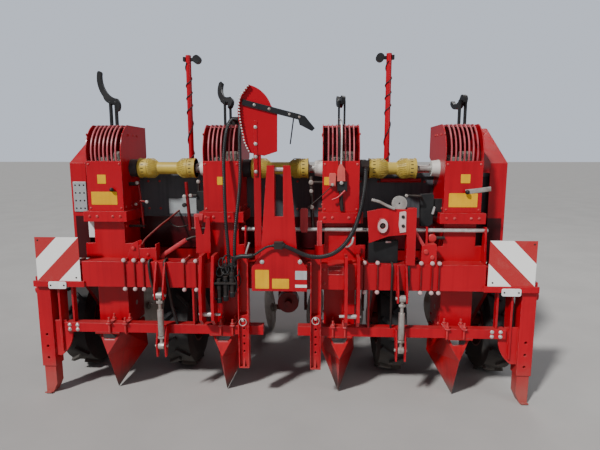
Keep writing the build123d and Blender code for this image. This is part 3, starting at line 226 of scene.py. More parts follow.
# Bare and plated metal: fine grain with dull dirty patches
def makeMetal(name, look):
    material, tree, shader = newMaterial(name)
    grain = useGroup(tree, grainGroup, look)
    dust = useGroup(tree, dustGroup, look, Color=grain["Color"], Scale=9.0)
    spots = addRamp(tree, addNoise(tree, objectPlace(tree), 30.0, 4.0), 0.4, 0.7)
    metal = addMath(tree, "MULTIPLY_ADD", dust["Mask"], -0.9, look["metal"], clamp=True)
    rough = addMath(tree, "MULTIPLY_ADD", spots, 0.25, look["rough"], clamp=True)
    feed(tree, shader, {"Base Color": dust["Color"], "Metallic": metal, "Roughness": rough})
    addBump(tree, shader, grain["Height"], look["bump"], 0.001, useGroup(tree, edgeGroup, look))
    return material


# Rubber and moulded plastic: grain, bloom and dust. A spiral pitch adds bands a turn apart to the height
def makeSkin(name, look):
    material, tree, shader = newMaterial(name, {"Specular IOR Level": look["shine"]})
    grain = useGroup(tree, grainGroup, look)
    dust = useGroup(tree, dustGroup, look, Color=grain["Color"], Scale=9.0)
    rough = addMath(tree, "ADD", grain["Rough"], look["rough"] - 0.5, clamp=True)
    feed(tree, shader, {"Base Color": dust["Color"], "Roughness": rough})
    height = grain["Height"]
    if look["spiral"]:
        scale = 2 * math.pi / (10 * look["spiral"])
        inputs = {"Vector": objectPlace(tree), "Scale": scale, "Distortion": 0.3}
        coil = addNode(tree, "TexWave", inputs, bands_direction="DIAGONAL").outputs["Fac"]
        height = addMath(tree, "MULTIPLY_ADD", coil, 3.0, height)
    addBump(tree, shader, height, look["bump"], 0.0012, useGroup(tree, edgeGroup, look))
    return material


# Finishes as rows: each takes its values in the order of the columns' names
def lookTable(columns, rows):
    return {name: dict(zip(columns.split(), row)) for name, row in rows.items()}


earth = (0.26, 0.21, 0.16)
paintLooks = lookTable("light deep under dust scale streaks radius wear top low height rough coat", {
    "redPaint": ((0.45, 0.001, 0.011), (0.3, 0.001, 0.008), (0.42, 0.2, 0.18), earth, 2.2, 0.35, 0.004, 0.6,
        0.16, 0.35, 0.35, 0.32, 0.08),
    "redOpener": ((0.4, 0.003, 0.008), (0.2, 0.003, 0.006), (0.16, 0.13, 0.12), (0.1, 0.085, 0.075), 3.5,
        0.5, 0.004, 0.9, 0.2, 0.95, 0.17, 0.34, 0.1),
    "redGuide": ((0.4, 0.001, 0.01), (0.32, 0.001, 0.008), (0.5, 0.2, 0.2), earth, 1.5, 0.15, 0.003, 0.3,
        0.1, 0.0, 0.3, 0.26, 0.2),
    "redDark": ((0.26, 0.002, 0.006), (0.1, 0.0015, 0.004), (0.14, 0.08, 0.07), earth, 3.0, 0.4, 0.004, 0.6,
        0.5, 0.6, 0.45, 0.4, 0.05),
    "redPale": ((0.52, 0.05, 0.06), (0.36, 0.01, 0.018), (0.62, 0.4, 0.4), earth, 9.0, 0.5, 0.002, 1.0, 0.2,
        0.0, 0.3, 0.36, 0.1),
    # The rods' red is paler and pinker than the other red paint: part of this colour is a painted highlight
    "rodPaintAndHighlight": ((0.56, 0.13, 0.15), (0.34, 0.03, 0.04), (0.5, 0.36, 0.36), earth, 11.0, 0.6, 0.002, 0.8,
        0.3, 0.0, 0.3, 0.38, 0.0),
    "salmonBlock": ((0.62, 0.115, 0.095), (0.46, 0.07, 0.06), (0.6, 0.3, 0.27), earth, 16.0, 0.3, 0.002,
        0.3, 0.4, 0.0, 0.3, 0.42, 0.0),
    "palePrimer": ((0.6, 0.46, 0.45), (0.46, 0.22, 0.22), (0.4, 0.1, 0.1), earth, 20.0, 0.4, 0.002, 0.8,
        0.3, 0.0, 0.3, 0.46, 0.0),
    "greyPaint": ((0.09, 0.098, 0.106), (0.04, 0.043, 0.05), (0.3, 0.31, 0.33), earth, 2.5, 0.5, 0.004, 0.4,
        0.5, 0.0, 0.3, 0.5, 0.0),
    "blackPaint": ((0.014, 0.015, 0.017), (0.006, 0.006, 0.008), (0.2, 0.19, 0.19), earth, 5.0, 0.4, 0.003,
        0.6, 0.3, 0.0, 0.3, 0.42, 0.05),
    "yellowSign": ((0.76, 0.41, 0.001), (0.62, 0.31, 0.002), (0.45, 0.4, 0.3), earth, 12.0, 0.3, 0.0008,
        0.5, 0.0, 0.0, 0.3, 0.38, 0.2),
    "whiteSign": ((0.78, 0.78, 0.77), (0.62, 0.61, 0.58), (0.4, 0.37, 0.33), earth, 12.0, 0.4, 0.0008, 0.4,
        0.1, 0.0, 0.3, 0.38, 0.2),
    "greySign": ((0.44, 0.45, 0.46), (0.3, 0.31, 0.32), (0.25, 0.22, 0.2), earth, 14.0, 0.5, 0.0008, 0.5,
        0.0, 0.0, 0.3, 0.36, 0.1),
    "paintedBolt": ((0.5, 0.035, 0.04), (0.4, 0.012, 0.018), (0.52, 0.36, 0.33), earth, 14.0, 0.5, 0.0015,
        0.55, 0.5, 0.2, 0.4, 0.36, 0.0),
})
clay = (0.30, 0.25, 0.19)
metalLooks = lookTable("base bloom grain amount dust top low height metal rough bump radius", {
    "zincSteel": ((0.66, 0.66, 0.64), (0.34, 0.3, 0.26), 240.0, 0.55, clay, 0.15, 0.3, 0.5, 0.75, 0.34,
        0.15, 0.0025),
    "galvanised": ((0.4, 0.44, 0.44), (0.34, 0.36, 0.37), 60.0, 0.8, clay, 0.2, 0.0, 0.5, 0.45, 0.45, 0.1,
        0.0025),
    "wornSteel": ((0.46, 0.43, 0.4), (0.18, 0.1, 0.07), 150.0, 0.8, clay, 0.3, 0.4, 0.5, 0.7, 0.38, 0.25,
        0.0025),
    "darkSteel": ((0.026, 0.023, 0.022), (0.07, 0.035, 0.028), 200.0, 0.6, clay, 0.3, 0.2, 0.5, 0.5, 0.45,
        0.25, 0.0025),
})
skinLooks = lookTable("base bloom grain amount dust top low height rough shine radius bump spiral", {
    "tyreRubber": ((0.016, 0.016, 0.017), (0.05, 0.046, 0.041), 190.0, 0.8, (0.13, 0.11, 0.09), 0.15, 0.45,
        0.28, 0.72, 0.35, 0.006, 0.35, 0),
    "hoseRubber": ((0.007, 0.007, 0.008), (0.022, 0.021, 0.02), 320.0, 0.5, earth, 0.08, 0.0, 0.3, 0.36,
        0.5, 0.001, 0.5, 0.015),
    "blackPlastic": ((0.008, 0.008, 0.009), (0.024, 0.023, 0.022), 420.0, 0.4, earth, 0.15, 0.0, 0.3, 0.42,
        0.35, 0.004, 0.12, 0),
    "creamGuard": ((0.5, 0.36, 0.055), (0.3, 0.215, 0.05), 260.0, 0.8, (0.24, 0.18, 0.09), 0.45, 0.0, 0.3,
        0.46, 0.4, 0.003, 0.12, 0),
    "paleLens": ((0.5, 0.52, 0.55), (0.36, 0.37, 0.38), 500.0, 0.4, earth, 0.2, 0.0, 0.3, 0.18, 0.8, 0.001,
        0.05, 0),
})
# The hopper's front wall below the aprons gets painted shade: a dark colour in place of the shade under them
paintLooks["hopperRedShaded"] = {**paintLooks["redPaint"],
                           "wall": {"x": 1.455, "y": -0.505, "z": 1.150, "color": (0.045, 0.002, 0.004)}}
makers = ((paintLooks, makePaint), (metalLooks, makeMetal), (skinLooks, makeSkin))
materials = {name: maker(name, look) for looks, maker in makers for name, look in looks.items()}


# Warning panels: diagonal bands of red and white from the outer top corner, with a fine honeycomb sheen
def makeStripes(look):
    material, tree, shader = newMaterial("panelStripes", {"Coat Weight": 0.4, "Coat Roughness": 0.2})
    place = objectPlace(tree)
    axes = axesOf(tree, place)
    across = addMath(tree, "SUBTRACT", look["outerX"], addMath(tree, "ABSOLUTE", axes["X"]))
    up = addMath(tree, "SUBTRACT", axes["Z"], look["lowZ"])
    band = addMath(tree, "DIVIDE", addMath(tree, "SUBTRACT", up, across), look["band"])
    white = addMath(tree, "LESS_THAN", addMath(tree, "FLOORED_MODULO", band, 2.0), 1.0)
    color = addMix(tree, white, look["red"], look["white"])
    inputs = {"Vector": place, "Scale": 260.0}
    cells = addNode(tree, "TexVoronoi", inputs, feature="DISTANCE_TO_EDGE").outputs[0]
    dull = addMix(tree, addRamp(tree, cells, 0.08, 0.0, 0.0, 0.12), color, look["line"])
    stains = addRamp(tree, addNoise(tree, place, 9.0, 6.0, 0.7), 0.55, 0.85, 0.0, 0.20)
    feed(tree, shader, {"Base Color": addMix(tree, stains, dull, look["stain"]),
                        "Roughness": addMath(tree, "MULTIPLY_ADD", stains, 0.8, 0.32, clamp=True)})
    addBump(tree, shader, cells, 0.05, 0.0008)
    return material


# Guard ends: black collars on the left of each shaft and white cones on its right, row after row
def makeGuardEnds(look):
    material, tree, shader = newMaterial("guardEnds")
    x = axesOf(tree, objectPlace(tree))["X"]
    along = addMath(tree, "FLOORED_MODULO", addMath(tree, "ADD", x, look["firstRow"]), look["pitch"])
    white = addMath(tree, "GREATER_THAN", along, look["pitch"] / 2)
    dust = useGroup(tree, dustGroup, look, Color=addMix(tree, white, look["black"], look["white"]))
    grain = useGroup(tree, grainGroup, look, Base=dust["Color"])
    feed(tree, shader, {"Base Color": grain["Color"], "Roughness": grain["Rough"]})
    addBump(tree, shader, grain["Height"], 0.12, 0.001, useGroup(tree, edgeGroup, look))
    return material


# Cup belts: dark woven belt, and pale cups where the surface stands clear of the loop. The reach is the
# distance in Y and Z from the nearest point of the line between the two pulleys' axes
def makeBelts(look):
    material, tree, shader = newMaterial("beltAndCups")
    place = objectPlace(tree)
    axes = axesOf(tree, place)
    y = addMath(tree, "SUBTRACT", axes["Y"], look["y"])
    nearest = addMath(tree, "MINIMUM", addMath(tree, "MAXIMUM", axes["Z"], look["lowZ"]), look["highZ"])
    z = addMath(tree, "SUBTRACT", axes["Z"], nearest)
    reach = addMath(tree, "ADD", addMath(tree, "MULTIPLY", y, y), addMath(tree, "MULTIPLY", z, z))
    reach = addMath(tree, "SQRT", reach)
    cup = addRamp(tree, reach, look["loop"] + 0.001, look["loop"] + 0.003)
    inputs = {"Vector": place, "Scale": 60.0, "Distortion": 0.4}
    weave = addNode(tree, "TexWave", inputs, bands_direction="Z").outputs["Fac"]
    belt = addMix(tree, addMath(tree, "MULTIPLY", weave, 0.5), look["belt"], look["thread"])
    dust = useGroup(tree, dustGroup, look, Color=addMix(tree, cup, belt, look["cup"]))
    feed(tree, shader, {"Base Color": dust["Color"],
                        "Roughness": addMath(tree, "MULTIPLY_ADD", dust["Mask"], 0.3, 0.5, clamp=True)})
    addBump(tree, shader, weave, 0.3, 0.001)
    return material


stripeLook = {"outerX": 1.554, "lowZ": 0.778, "band": 0.141, "red": (0.42, 0.004, 0.008),
              "white": (0.88, 0.87, 0.84), "line": (0.45, 0.42, 0.38), "stain": (0.33, 0.28, 0.22)}
endsLook = {"firstRow": 1.125, "pitch": 0.75, "black": (0.022, 0.022, 0.024), "white": (0.62, 0.61, 0.56),
            "bloom": (0.2, 0.19, 0.17), "grain": 300.0, "amount": 0.25, "dust": earth, "top": 0.35,
            "low": 0.0, "height": 0.3, "scale": 12.0, "radius": 0.004}
beltLook = {"y": -0.645, "lowZ": 0.560, "highZ": 1.487, "loop": 0.070, "belt": (0.045, 0.045, 0.042),
            "thread": (0.12, 0.11, 0.095), "cup": (0.16, 0.15, 0.13), "dust": earth, "top": 0.8, "low": 0.2,
            "height": 1.0, "scale": 14.0}
materials["panelStripes"] = makeStripes(stripeLook)
materials["guardEnds"] = makeGuardEnds(endsLook)
materials["beltAndCups"] = makeBelts(beltLook)
print("stage: materials made,", len(materials))

# Which finish each node of the frame wears, by its name or the start of it; the rest are red paint
nodeFinish = {
    "warning_panels": "panelStripes", "guard_cones": "guardEnds", "cup_belts": "beltAndCups",
    "shaft_guards": "creamGuard", "hopper_aprons": "greyPaint", "hose_guide": "redGuide",
    "hose_arm": "blackPaint", "guide_rods": "rodPaintAndHighlight", "cross_shaft": "zincSteel",
    "depth_spindles": "wornSteel", "hitch_pins": "zincSteel", "belt_pulleys": "wornSteel",
    "hose_couplers": "darkSteel", "work_lamps": "blackPlastic", "hopper": "hopperRedShaded",
    "belt_levers": "blackPlastic", "rear_frame": "redDark", "disc_arms": "redDark", "wheel_arms": "redDark",
}
nodeFamilies = {"tyre_": "tyreRubber", "rim_": "redDark", "furrow_opener_": "redOpener",
                "covering_disc_": "wornSteel"}
for name, node in nodes.items():
    family = [finish for start, finish in nodeFamilies.items() if name.startswith(start)]
    for slot in node.material_slots:
        slot.material = materials[nodeFinish.get(name, family[0] if family else "redPaint")]

# Hoses: smooth lines through their points, in millimetres, from clamp to coupler
hoseRoutes = {
    "hose_1": {"diameter": 0.021, "length": 1.085, "points": [
        (-322, -575, 1800), (-324, -640, 1803), (-329, -705, 1793), (-335, -765, 1757), (-340, -810, 1698),
        (-344, -842, 1620), (-345, -864, 1525), (-341, -880, 1420), (-338, -893, 1300), (-333, -905, 1180),
        (-324, -916, 1080), (-316, -924, 985), (-315, -925, 900)]},
    "hose_2": {"diameter": 0.021, "length": 1.099, "points": [
        (-268, -575, 1800), (-266, -640, 1803), (-262, -705, 1793), (-258, -765, 1757), (-254, -810, 1698),
        (-249, -840, 1620), (-244, -860, 1530), (-243, -876, 1430), (-250, -889, 1325), (-262, -901, 1220),
        (-274, -912, 1110), (-279, -922, 1000), (-278, -925, 885)]},
    "hose_3": {"diameter": 0.026, "length": 0.915, "points": [
        (530, -770, 1490), (531, -772, 1432), (522, -795, 1360), (508, -828, 1285), (489, -862, 1210),
        (462, -897, 1137), (425, -930, 1071), (377, -958, 1017), (318, -974, 980), (250, -981, 965),
        (185, -983, 969), (128, -983, 990), (80, -982, 1015), (36, -980, 1032)]},
    "hose_4": {"diameter": 0.014, "length": 0.348, "points": [
        (-289, -962, 860), (-289, -962, 895), (-281, -967, 930), (-259, -974, 957), (-226, -980, 968),
        (-190, -984, 966), (-155, -984, 972), (-123, -983, 991), (-94, -982, 1013), (-65, -981, 1029),
        (-36, -980, 1032)]},
}


# A round hose: a NURBS line of order 3 through its control points, with a round bevel
def makeHose(name, route):
    points = np.array(route["points"]) / 1000
    curve = bpy.data.curves.new(name + "_line", "CURVE")
    curve.dimensions = "3D"
    curve.bevel_depth = route["diameter"] / 2
    curve.bevel_resolution = 5
    curve.use_fill_caps = True
    spline = curve.splines.new("NURBS")
    spline.points.add(len(points) - 1)
    spline.points.foreach_set("co", np.column_stack([points, np.ones(len(points))]).ravel())
    spline.order_u = 3
    spline.use_endpoint_u = True
    spline.resolution_u = 8
    curve.materials.append(materials["hoseRubber"])
    hose = addObject(name + "_tube", curve)
    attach(hose, "frame")
    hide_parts(name)


for name, route in hoseRoutes.items():
    makeHose(name, route)
print("stage: hoses hung,", len(hoseRoutes))


# Quads between neighbours of a rows by columns grid; a closed way joins its last line to its first
def gridFaces(rows, columns, closeRows=False, closeColumns=False):
    r = np.arange(rows if closeRows else rows - 1)[:, None]
    c = np.arange(columns if closeColumns else columns - 1)[None, :]
    nextR, nextC = (r + 1) % rows, (c + 1) % columns
    quads = [r * columns + c, nextR * columns + c, nextR * columns + nextC, r * columns + nextC]
    return np.stack(np.broadcast_arrays(*quads), axis=-1).reshape(-1, 4)


# A skin over rings of points. Open ends are closed by fans round their mean point, and the signed volume, a
# sixth of the sum over the triangles of one corner times the cross product of the others, turns it outwards
def skinOf(rings, closeRows=False):
    rings = np.asarray(rings, float)
    rows, columns = rings.shape[:2]
    verts = rings.reshape(-1, 3)
    quads = gridFaces(rows, columns, closeRows, True)
    tris = np.zeros((0, 3), int)
    if not closeRows:
        k = np.arange(columns)
        low = np.stack([k, (k + 1) % columns, np.full(columns, len(verts))], axis=1)
        last = (rows - 1) * columns
        high = np.stack([last + (k + 1) % columns, last + k, np.full(columns, len(verts) + 1)], axis=1)
        verts = np.vstack([verts, rings[0].mean(axis=0), rings[-1].mean(axis=0)])
        tris = np.vstack([low, high])
    corners = np.vstack([quads[:, :3], quads[:, [0, 2, 3]], tris])
    a, b, c = (verts[corners[:, i]] for i in range(3))
    if np.einsum("ij,ij->i", a - verts.mean(axis=0), np.cross(b - a, c - a)).sum() < 0:
        quads, tris = quads[:, ::-1], tris[:, ::-1]
    return verts, quads, tris


def joinParts(parts):
    starts = np.cumsum([0] + [len(part[0]) for part in parts[:-1]])
    quads, tris = (np.vstack([part[i] + start for part, start in zip(parts, starts)]) for i in (1, 2))
    return np.vstack([part[0] for part in parts]), quads, tris


# Copies of one part: each point is turned by the copy's matrix and moved to its place
def copyPart(part, places, turns=None):
    verts, quads, tris = part
    places = np.asarray(places, float).reshape(-1, 3)
    turned = np.broadcast_to(verts, (len(places),) + verts.shape)
    if turns is not None:
        turned = np.einsum("nij,kj->nki", np.asarray(turns), verts)
    moved = (turned + places[:, None, :]).reshape(-1, 3)
    shift = (np.arange(len(places)) * len(verts))[:, None, None]
    return moved, (quads[None] + shift).reshape(-1, 4), (tris[None] + shift).reshape(-1, 3)


# An axis at unit length and two unit vectors square to it
def sidesOf(axis):
    axis = np.asarray(axis, float) / np.linalg.norm(axis)
    start = np.array([0.0, 0.0, 1.0]) if abs(axis[2]) < 0.9 else np.array([1.0, 0.0, 0.0])
    first = np.cross(start, axis)
    first /= np.linalg.norm(first)
    return axis, first, np.cross(axis, first)


def anglesOf(steps, phase=0.0):
    return (np.arange(steps) + phase) * 2 * np.pi / steps


# Unit circle: cosine of the angle times one side plus its sine times the other
def circleOf(t, u, v):
    return np.cos(t)[:, None] * u + np.sin(t)[:, None] * v


def triples(x, y, z):
    return np.stack(np.broadcast_arrays(x, y, z), axis=-1).astype(float)


# A turned body: place plus height along the axis plus radius times the circle, for each pair of the profile
def turnedPart(profile, place=(0, 0, 0), axis=(0, -1, 0), steps=24, phase=0.0):
    axis, u, v = sidesOf(axis)
    ring = circleOf(anglesOf(steps, phase), u, v)
    profile = np.asarray(profile, float)
    height, radius = profile.T[:, :, None, None]
    return skinOf(np.asarray(place) + height * axis + radius * ring)


# A round section along a path: each point plus radius times the circle square to the path; flat thins one way
def pathPart(path, radius, up=(1, 0, 0), steps=10, closed=False, flat=1.0):
    path = np.asarray(path, float)
    if closed:
        tangent = np.roll(path, -1, axis=0) - np.roll(path, 1, axis=0)
    else:
        tangent = np.gradient(path, axis=0)
    tangent /= np.linalg.norm(tangent, axis=1)[:, None]
    side = np.cross(tangent, np.asarray(up, float))
    side /= np.linalg.norm(side, axis=1)[:, None]
    t = anglesOf(steps)[None, :, None]
    ring = np.cos(t) * side[:, None] + flat * np.sin(t) * np.cross(side, tangent)[:, None]
    return skinOf(path[:, None] + radius * ring, closed)


# A rectangle with round corners: each corner's centre plus its radius times a quarter of the circle
def roundOutline(width, height, corner, steps=5):
    k = np.arange(4 * steps)
    t = (k // steps) * np.pi / 2 + (k % steps) * np.pi / 2 / (steps - 1)
    signs = np.repeat([[1, 1], [-1, 1], [-1, -1], [1, -1]], steps, axis=0)
    middles = signs * (np.array([width, height]) / 2 - corner)
    return middles + corner * np.stack([np.cos(t), np.sin(t)], axis=1)


# A plate: its outline at four depths along the normal, its two faces drawn in towards the middle by the edge
def platePart(outline, place, thickness, normal=(0, -1, 0), upward=(0, 0, 1), edge=0.0015):
    normal, upward, outline = (np.asarray(value, float) for value in (normal, upward, outline))
    across = np.cross(upward, normal)
    middle = (outline.min(axis=0) + outline.max(axis=0)) / 2
    shrink = 1 - 2 * edge / (outline.max(axis=0) - outline.min(axis=0))
    scales = np.stack([shrink, np.ones(2), np.ones(2), shrink])
    depths = np.array([0, edge, thickness - edge, thickness])
    flat = middle + (outline - middle)[None] * scales[:, None]
    points = flat[..., :1] * across + flat[..., 1:] * upward
    return skinOf(np.asarray(place) + points + depths[:, None, None] * normal)


# One object from a part or a list of parts, smooth but for edges sharper than 32 degrees
def makePiece(name, parts, finish, body="frame"):
    verts, quads, tris = joinParts(parts) if isinstance(parts, list) else parts
    mesh = bpy.data.meshes.new(name)
    mesh.from_pydata(verts, [], quads.tolist() + tris.tolist())
    mesh.polygons.foreach_set("use_smooth", np.ones(len(mesh.polygons), bool))
    mesh.set_sharp_from_angle(angle=math.radians(32))
    mesh.materials.append(materials[finish])
    piece = addObject(name, mesh)
    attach(piece, body)


# A hexagon bolt, sized by the radius across its head's corners: turned washer, head of six sides and crown
def boltPart(radius, axis=(0, -1, 0)):
    washer = [(-0.001, 1.25 * radius), (0.0018, 1.25 * radius), (0.0026, 1.15 * radius)]
    head = [(0.0, radius), (0.55 * radius, radius), (0.68 * radius, 0.84 * radius)]
    crown = [(0.0, 0.45 * radius), (0.85 * radius, 0.45 * radius), (0.92 * radius, 0.36 * radius)]
    return joinParts([turnedPart(profile, axis=axis, steps=steps)
                      for profile, steps in ((washer, 18), (head, 6), (crown, 12))])


def gridPlaces(xs, ys, zs):
    return np.stack(np.meshgrid(xs, ys, zs, indexing="ij"), axis=-1).reshape(-1, 3)


rowXs = np.array([-1.125, -0.375, 0.375, 1.125])

# Clamps round the beam: a strap in front, a bolt above and one below, and their round heads
clampLook = {"xs": [-0.985, -0.920, -0.862, -0.604, -0.527, 0.522, 0.602, 0.866, 0.933, 0.976],
             "highZ": 0.917, "lowZ": 0.731, "frontY": -0.900, "backY": -0.780, "rod": 0.0055,
             "head": 0.0135, "strap": 0.0042}


# The strap's line stands 4 mm in front, and 4 mm more times the sine of its way up
def makeClamps(xs, highZ, lowZ, frontY, backY, rod, head, strap):
    s = np.linspace(0, 1, 9)
    bow = triples(0, frontY - 0.004 - 0.004 * np.sin(np.pi * s), lowZ + (highZ - lowZ) * s)
    bolt = turnedPart([(0, rod), (backY - frontY + 0.024, rod)], (0, frontY - 0.010, 0), (0, 1, 0), 12)
    nut = turnedPart([(0, 1.2 * rod), (0.004, 1.9 * rod), (0.012, 1.9 * rod)], (0, backY, 0), (0, 1, 0), 6)
    cap = turnedPart([(-0.004, head), (0.001, head), (0.004, 0.94 * head), (0.008, 0.72 * head),
                      (0.010, 0.36 * head)], (0, frontY - 0.008, 0), steps=20)
    ends = np.vstack([triples(xs, 0, z) for z in (highZ, lowZ)])
    makePiece("clamp_straps", copyPart(pathPart(bow, strap, steps=8, flat=1.2), triples(xs, 0, 0)), "redDark")
    makePiece("clamp_rods", copyPart(joinParts([bolt, nut]), ends), "paintedBolt")
    makePiece("clamp_heads", copyPart(cap, ends), "palePrimer")


# U-bolts that hold the furrow openers to the lower bar, with a bridge plate and two nuts on top
hookLook = {"xs": [-1.105, -1.000, -0.381, -0.304, 0.332, 0.408, 1.042, 1.146], "front": -0.903,
            "back": -0.827, "low": 0.429, "top": 0.4975, "end": 0.540, "rod": 0.0065, "c": 0.016}


# The bolt's path: down, a quarter circle of radius c, back, another quarter circle, and up
def makeHooks(xs, front, back, low, top, end, rod, c):
    t, half = np.linspace(0, np.pi / 2, 6), (low + end) / 2
    path = np.vstack([[(0, front, end), (0, front, half)],
                      triples(0, front + c - c * np.cos(t), low + c - c * np.sin(t)),
                      triples(0, back - c + c * np.sin(t), low + c - c * np.cos(t)),
                      [(0, back, half), (0, back, end)]])
    bridge = platePart(roundOutline(0.030, back - front + 0.036, 0.008), (0, (front + back) / 2, top), 0.007,
                       (0, 0, 1), (0, 1, 0))
    nuts = [turnedPart([(0, 0.012), (0.0015, 0.0125), (0.011, 0.0125), (0.0125, 0.011)], (0, y, top + 0.007),
                       (0, 0, 1), 6, 0.5) for y in (front, back)]
    places = triples(xs, 0, 0)
    makePiece("hook_bolts", copyPart(joinParts([pathPart(path, rod)] + nuts), places), "paintedBolt")
    makePiece("hook_bridges", copyPart(bridge, places), "redPale")


# Blank signs: middle X, middle Z, width, height, corner, face Y, and finish
signLook = {
    "cover_sign_4": (-1.133, 1.2985, 0.168, 0.083, 0.004, -0.806, "yellowSign"),
    "cover_sign_1": (1.128, 1.295, 0.174, 0.086, 0.004, -0.806, "yellowSign"),
    "row_square_4": (-1.1435, 1.4195, 0.055, 0.057, 0.003, -0.806, "yellowSign"),
    "row_square_1": (1.1365, 1.427, 0.057, 0.054, 0.003, -0.806, "yellowSign"),
    "row_square_3": (-0.3825, 1.411, 0.037, 0.050, 0.003, -0.806, "yellowSign"),
    "row_square_2": (0.2895, 1.411, 0.037, 0.050, 0.003, -0.806, "yellowSign"),
    "foot_sign_left": (-0.1055, 0.817, 0.085, 0.118, 0.004, -0.950, "yellowSign"),
    "foot_sign_middle": (0.008, 0.790, 0.104, 0.062, 0.004, -0.950, "yellowSign"),
    "foot_plate_grey": (0.1335, 0.8445, 0.072, 0.055, 0.003, -0.950, "greySign"),
    "foot_strip": (0.1335, 0.776, 0.072, 0.018, 0.002, -0.950, "whiteSign"),
    "side_sticker": (-1.239, 1.095, 0.052, 0.112, 0.003, -0.7735, "whiteSign"),
    "beam_label": (0.345, 0.865, 0.098, 0.058, 0.004, -0.900, "redDark"),
}
# Plates: the same, then thickness, finish and slot
plainPlates = {
    "guide_strip": (-0.146, 1.610, 0.022, 0.335, 0.006, -0.866, 0.004, "redGuide", "red_paint"),
    "apron_plate": (-0.7125, 1.2215, 0.195, 0.107, 0.004, -0.525, 0.003, "galvanised", "grey_paint"),
    "holed_plate": (-1.4135, 1.288, 0.093, 0.208, 0.006, -0.5765, 0.005, "galvanised", "grey_paint"),
}


def makeSigns(signs, plates):
    for name, (x, z, width, height, corner, y, finish) in signs.items():
        sign = platePart(roundOutline(width, height, corner), (x, y + 0.0002, z), 0.0016, edge=0.0005)
        makePiece(name, sign, finish)
    for name, (x, z, width, height, corner, y, thickness, finish, slot) in plates.items():
        makePiece(name, platePart(roundOutline(width, height, corner), (x, y, z), thickness), finish)


# Reflectors with round ends below the warning panels, each on two screws, and the panels' own corner screws
reflectorLook = {"middles": [(-1.420, 0.752), (1.4125, 0.743)], "width": 0.117, "height": 0.048,
                 "corner": 0.012, "y": -0.9125, "screwGap": 0.043,
                 "panelScrews": [(1.300, 0.800), (1.535, 1.040)], "panelY": -0.904}


def makeReflectors(middles, width, height, corner, y, screwGap, panelScrews, panelY):
    outline = roundOutline(width, height, corner, 7)
    makePiece("reflectors", [platePart(outline, (x, y, z), 0.006, edge=0.0014) for x, z in middles],
              "whiteSign")
    screw = turnedPart([(0, 0.0055), (0.002, 0.0052), (0.0034, 0.003)], steps=14)
    places = [(x + side * screwGap, y - 0.006, z) for x, z in middles for side in (-1, 1)]
    places += [(side * x, panelY, z) for x, z in panelScrews for side in (-1, 1)]
    makePiece("sign_screws", copyPart(screw, places), "darkSteel")


# Bolts in rows: head radius, axis and places of each set. Those on side faces are made once for each side
forward = (0, -1, 0)
boltSets = {
    "flange_bolts": (0.0075, forward, gridPlaces((rowXs[:, None] + (-0.100, -0.050, 0.050, 0.100)).ravel(),
                                                 -0.830, 1.184)),
    "cover_screws": (0.0055, forward, np.vstack([gridPlaces(rowXs + x, -0.806, (1.235, 1.515))
                                                 for x in (-0.100, 0.100)])),
    "headstock_bolts": (0.011, forward, [(-0.105, -0.950, 0.926), (0.127, -0.950, 0.928)]),
    "hanger_bolts": (0.010, forward, gridPlaces((-1.372, -1.320, 1.320, 1.372), -0.895, (0.452, 0.482))),
    "channel_bolts": (0.0075, forward, gridPlaces((-0.275, -0.173, 0.173, 0.275), -0.900, (0.780, 0.868))),
    "apron_bolts": (0.0065, forward, gridPlaces((-0.950, -0.870, -0.560, -0.510, -0.200, -0.090, 0.090, 0.200,
                                                 0.520, 0.640, 0.860, 0.950), -0.525, (1.205, 1.395))),
    "hopper_rim_bolts": (0.0085, (0, 0, 1), gridPlaces(np.linspace(-1.40, 1.40, 13), 0.985, 1.450)),
}
for side, word in ((1, "right"), (-1, "left")):
    boltSets["side_screws_" + word] = (0.0065, (side, 0, 0), gridPlaces(
        rowXs + side * 0.115, (-0.770, -0.680, -0.590, -0.535), (1.240, 1.700)))
    boltSets["body_bolts_" + word] = (0.0085, (side, 0, 0), gridPlaces(
        rowXs + side * 0.100, (-0.750, -0.550), (0.480, 1.110)))
    boltSets["hopper_side_bolts_" + word] = (0.0085, (side, 0, 0), np.vstack([
        gridPlaces(side * 1.475, -0.540, np.linspace(0.92, 1.48, 6)),
        gridPlaces(side * 1.475, np.linspace(-0.40, 0.90, 7), 1.420),
        gridPlaces(side * 1.475, np.linspace(-0.42, 0.36, 4), 0.985)]))


def makeBolts(sets):
    for name, (radius, axis, places) in sets.items():
        finish = "paintedBolt" if radius < 0.009 else "zincSteel"
        makePiece(name, copyPart(boltPart(radius, axis), places), finish)


# Hub bolts, caps and valves on wheels and discs turn with them
hubLook = {"wheelXs": (1.480, 0.750, -0.750, -1.480), "y": -0.340, "z": 0.370, "circle": 0.044, "face": 0.045,
           "offset": 0.200, "discY": 0.330, "discZ": 0.210, "toe": 20.0, "discFace": 0.022,
           "discCircle": 0.027}


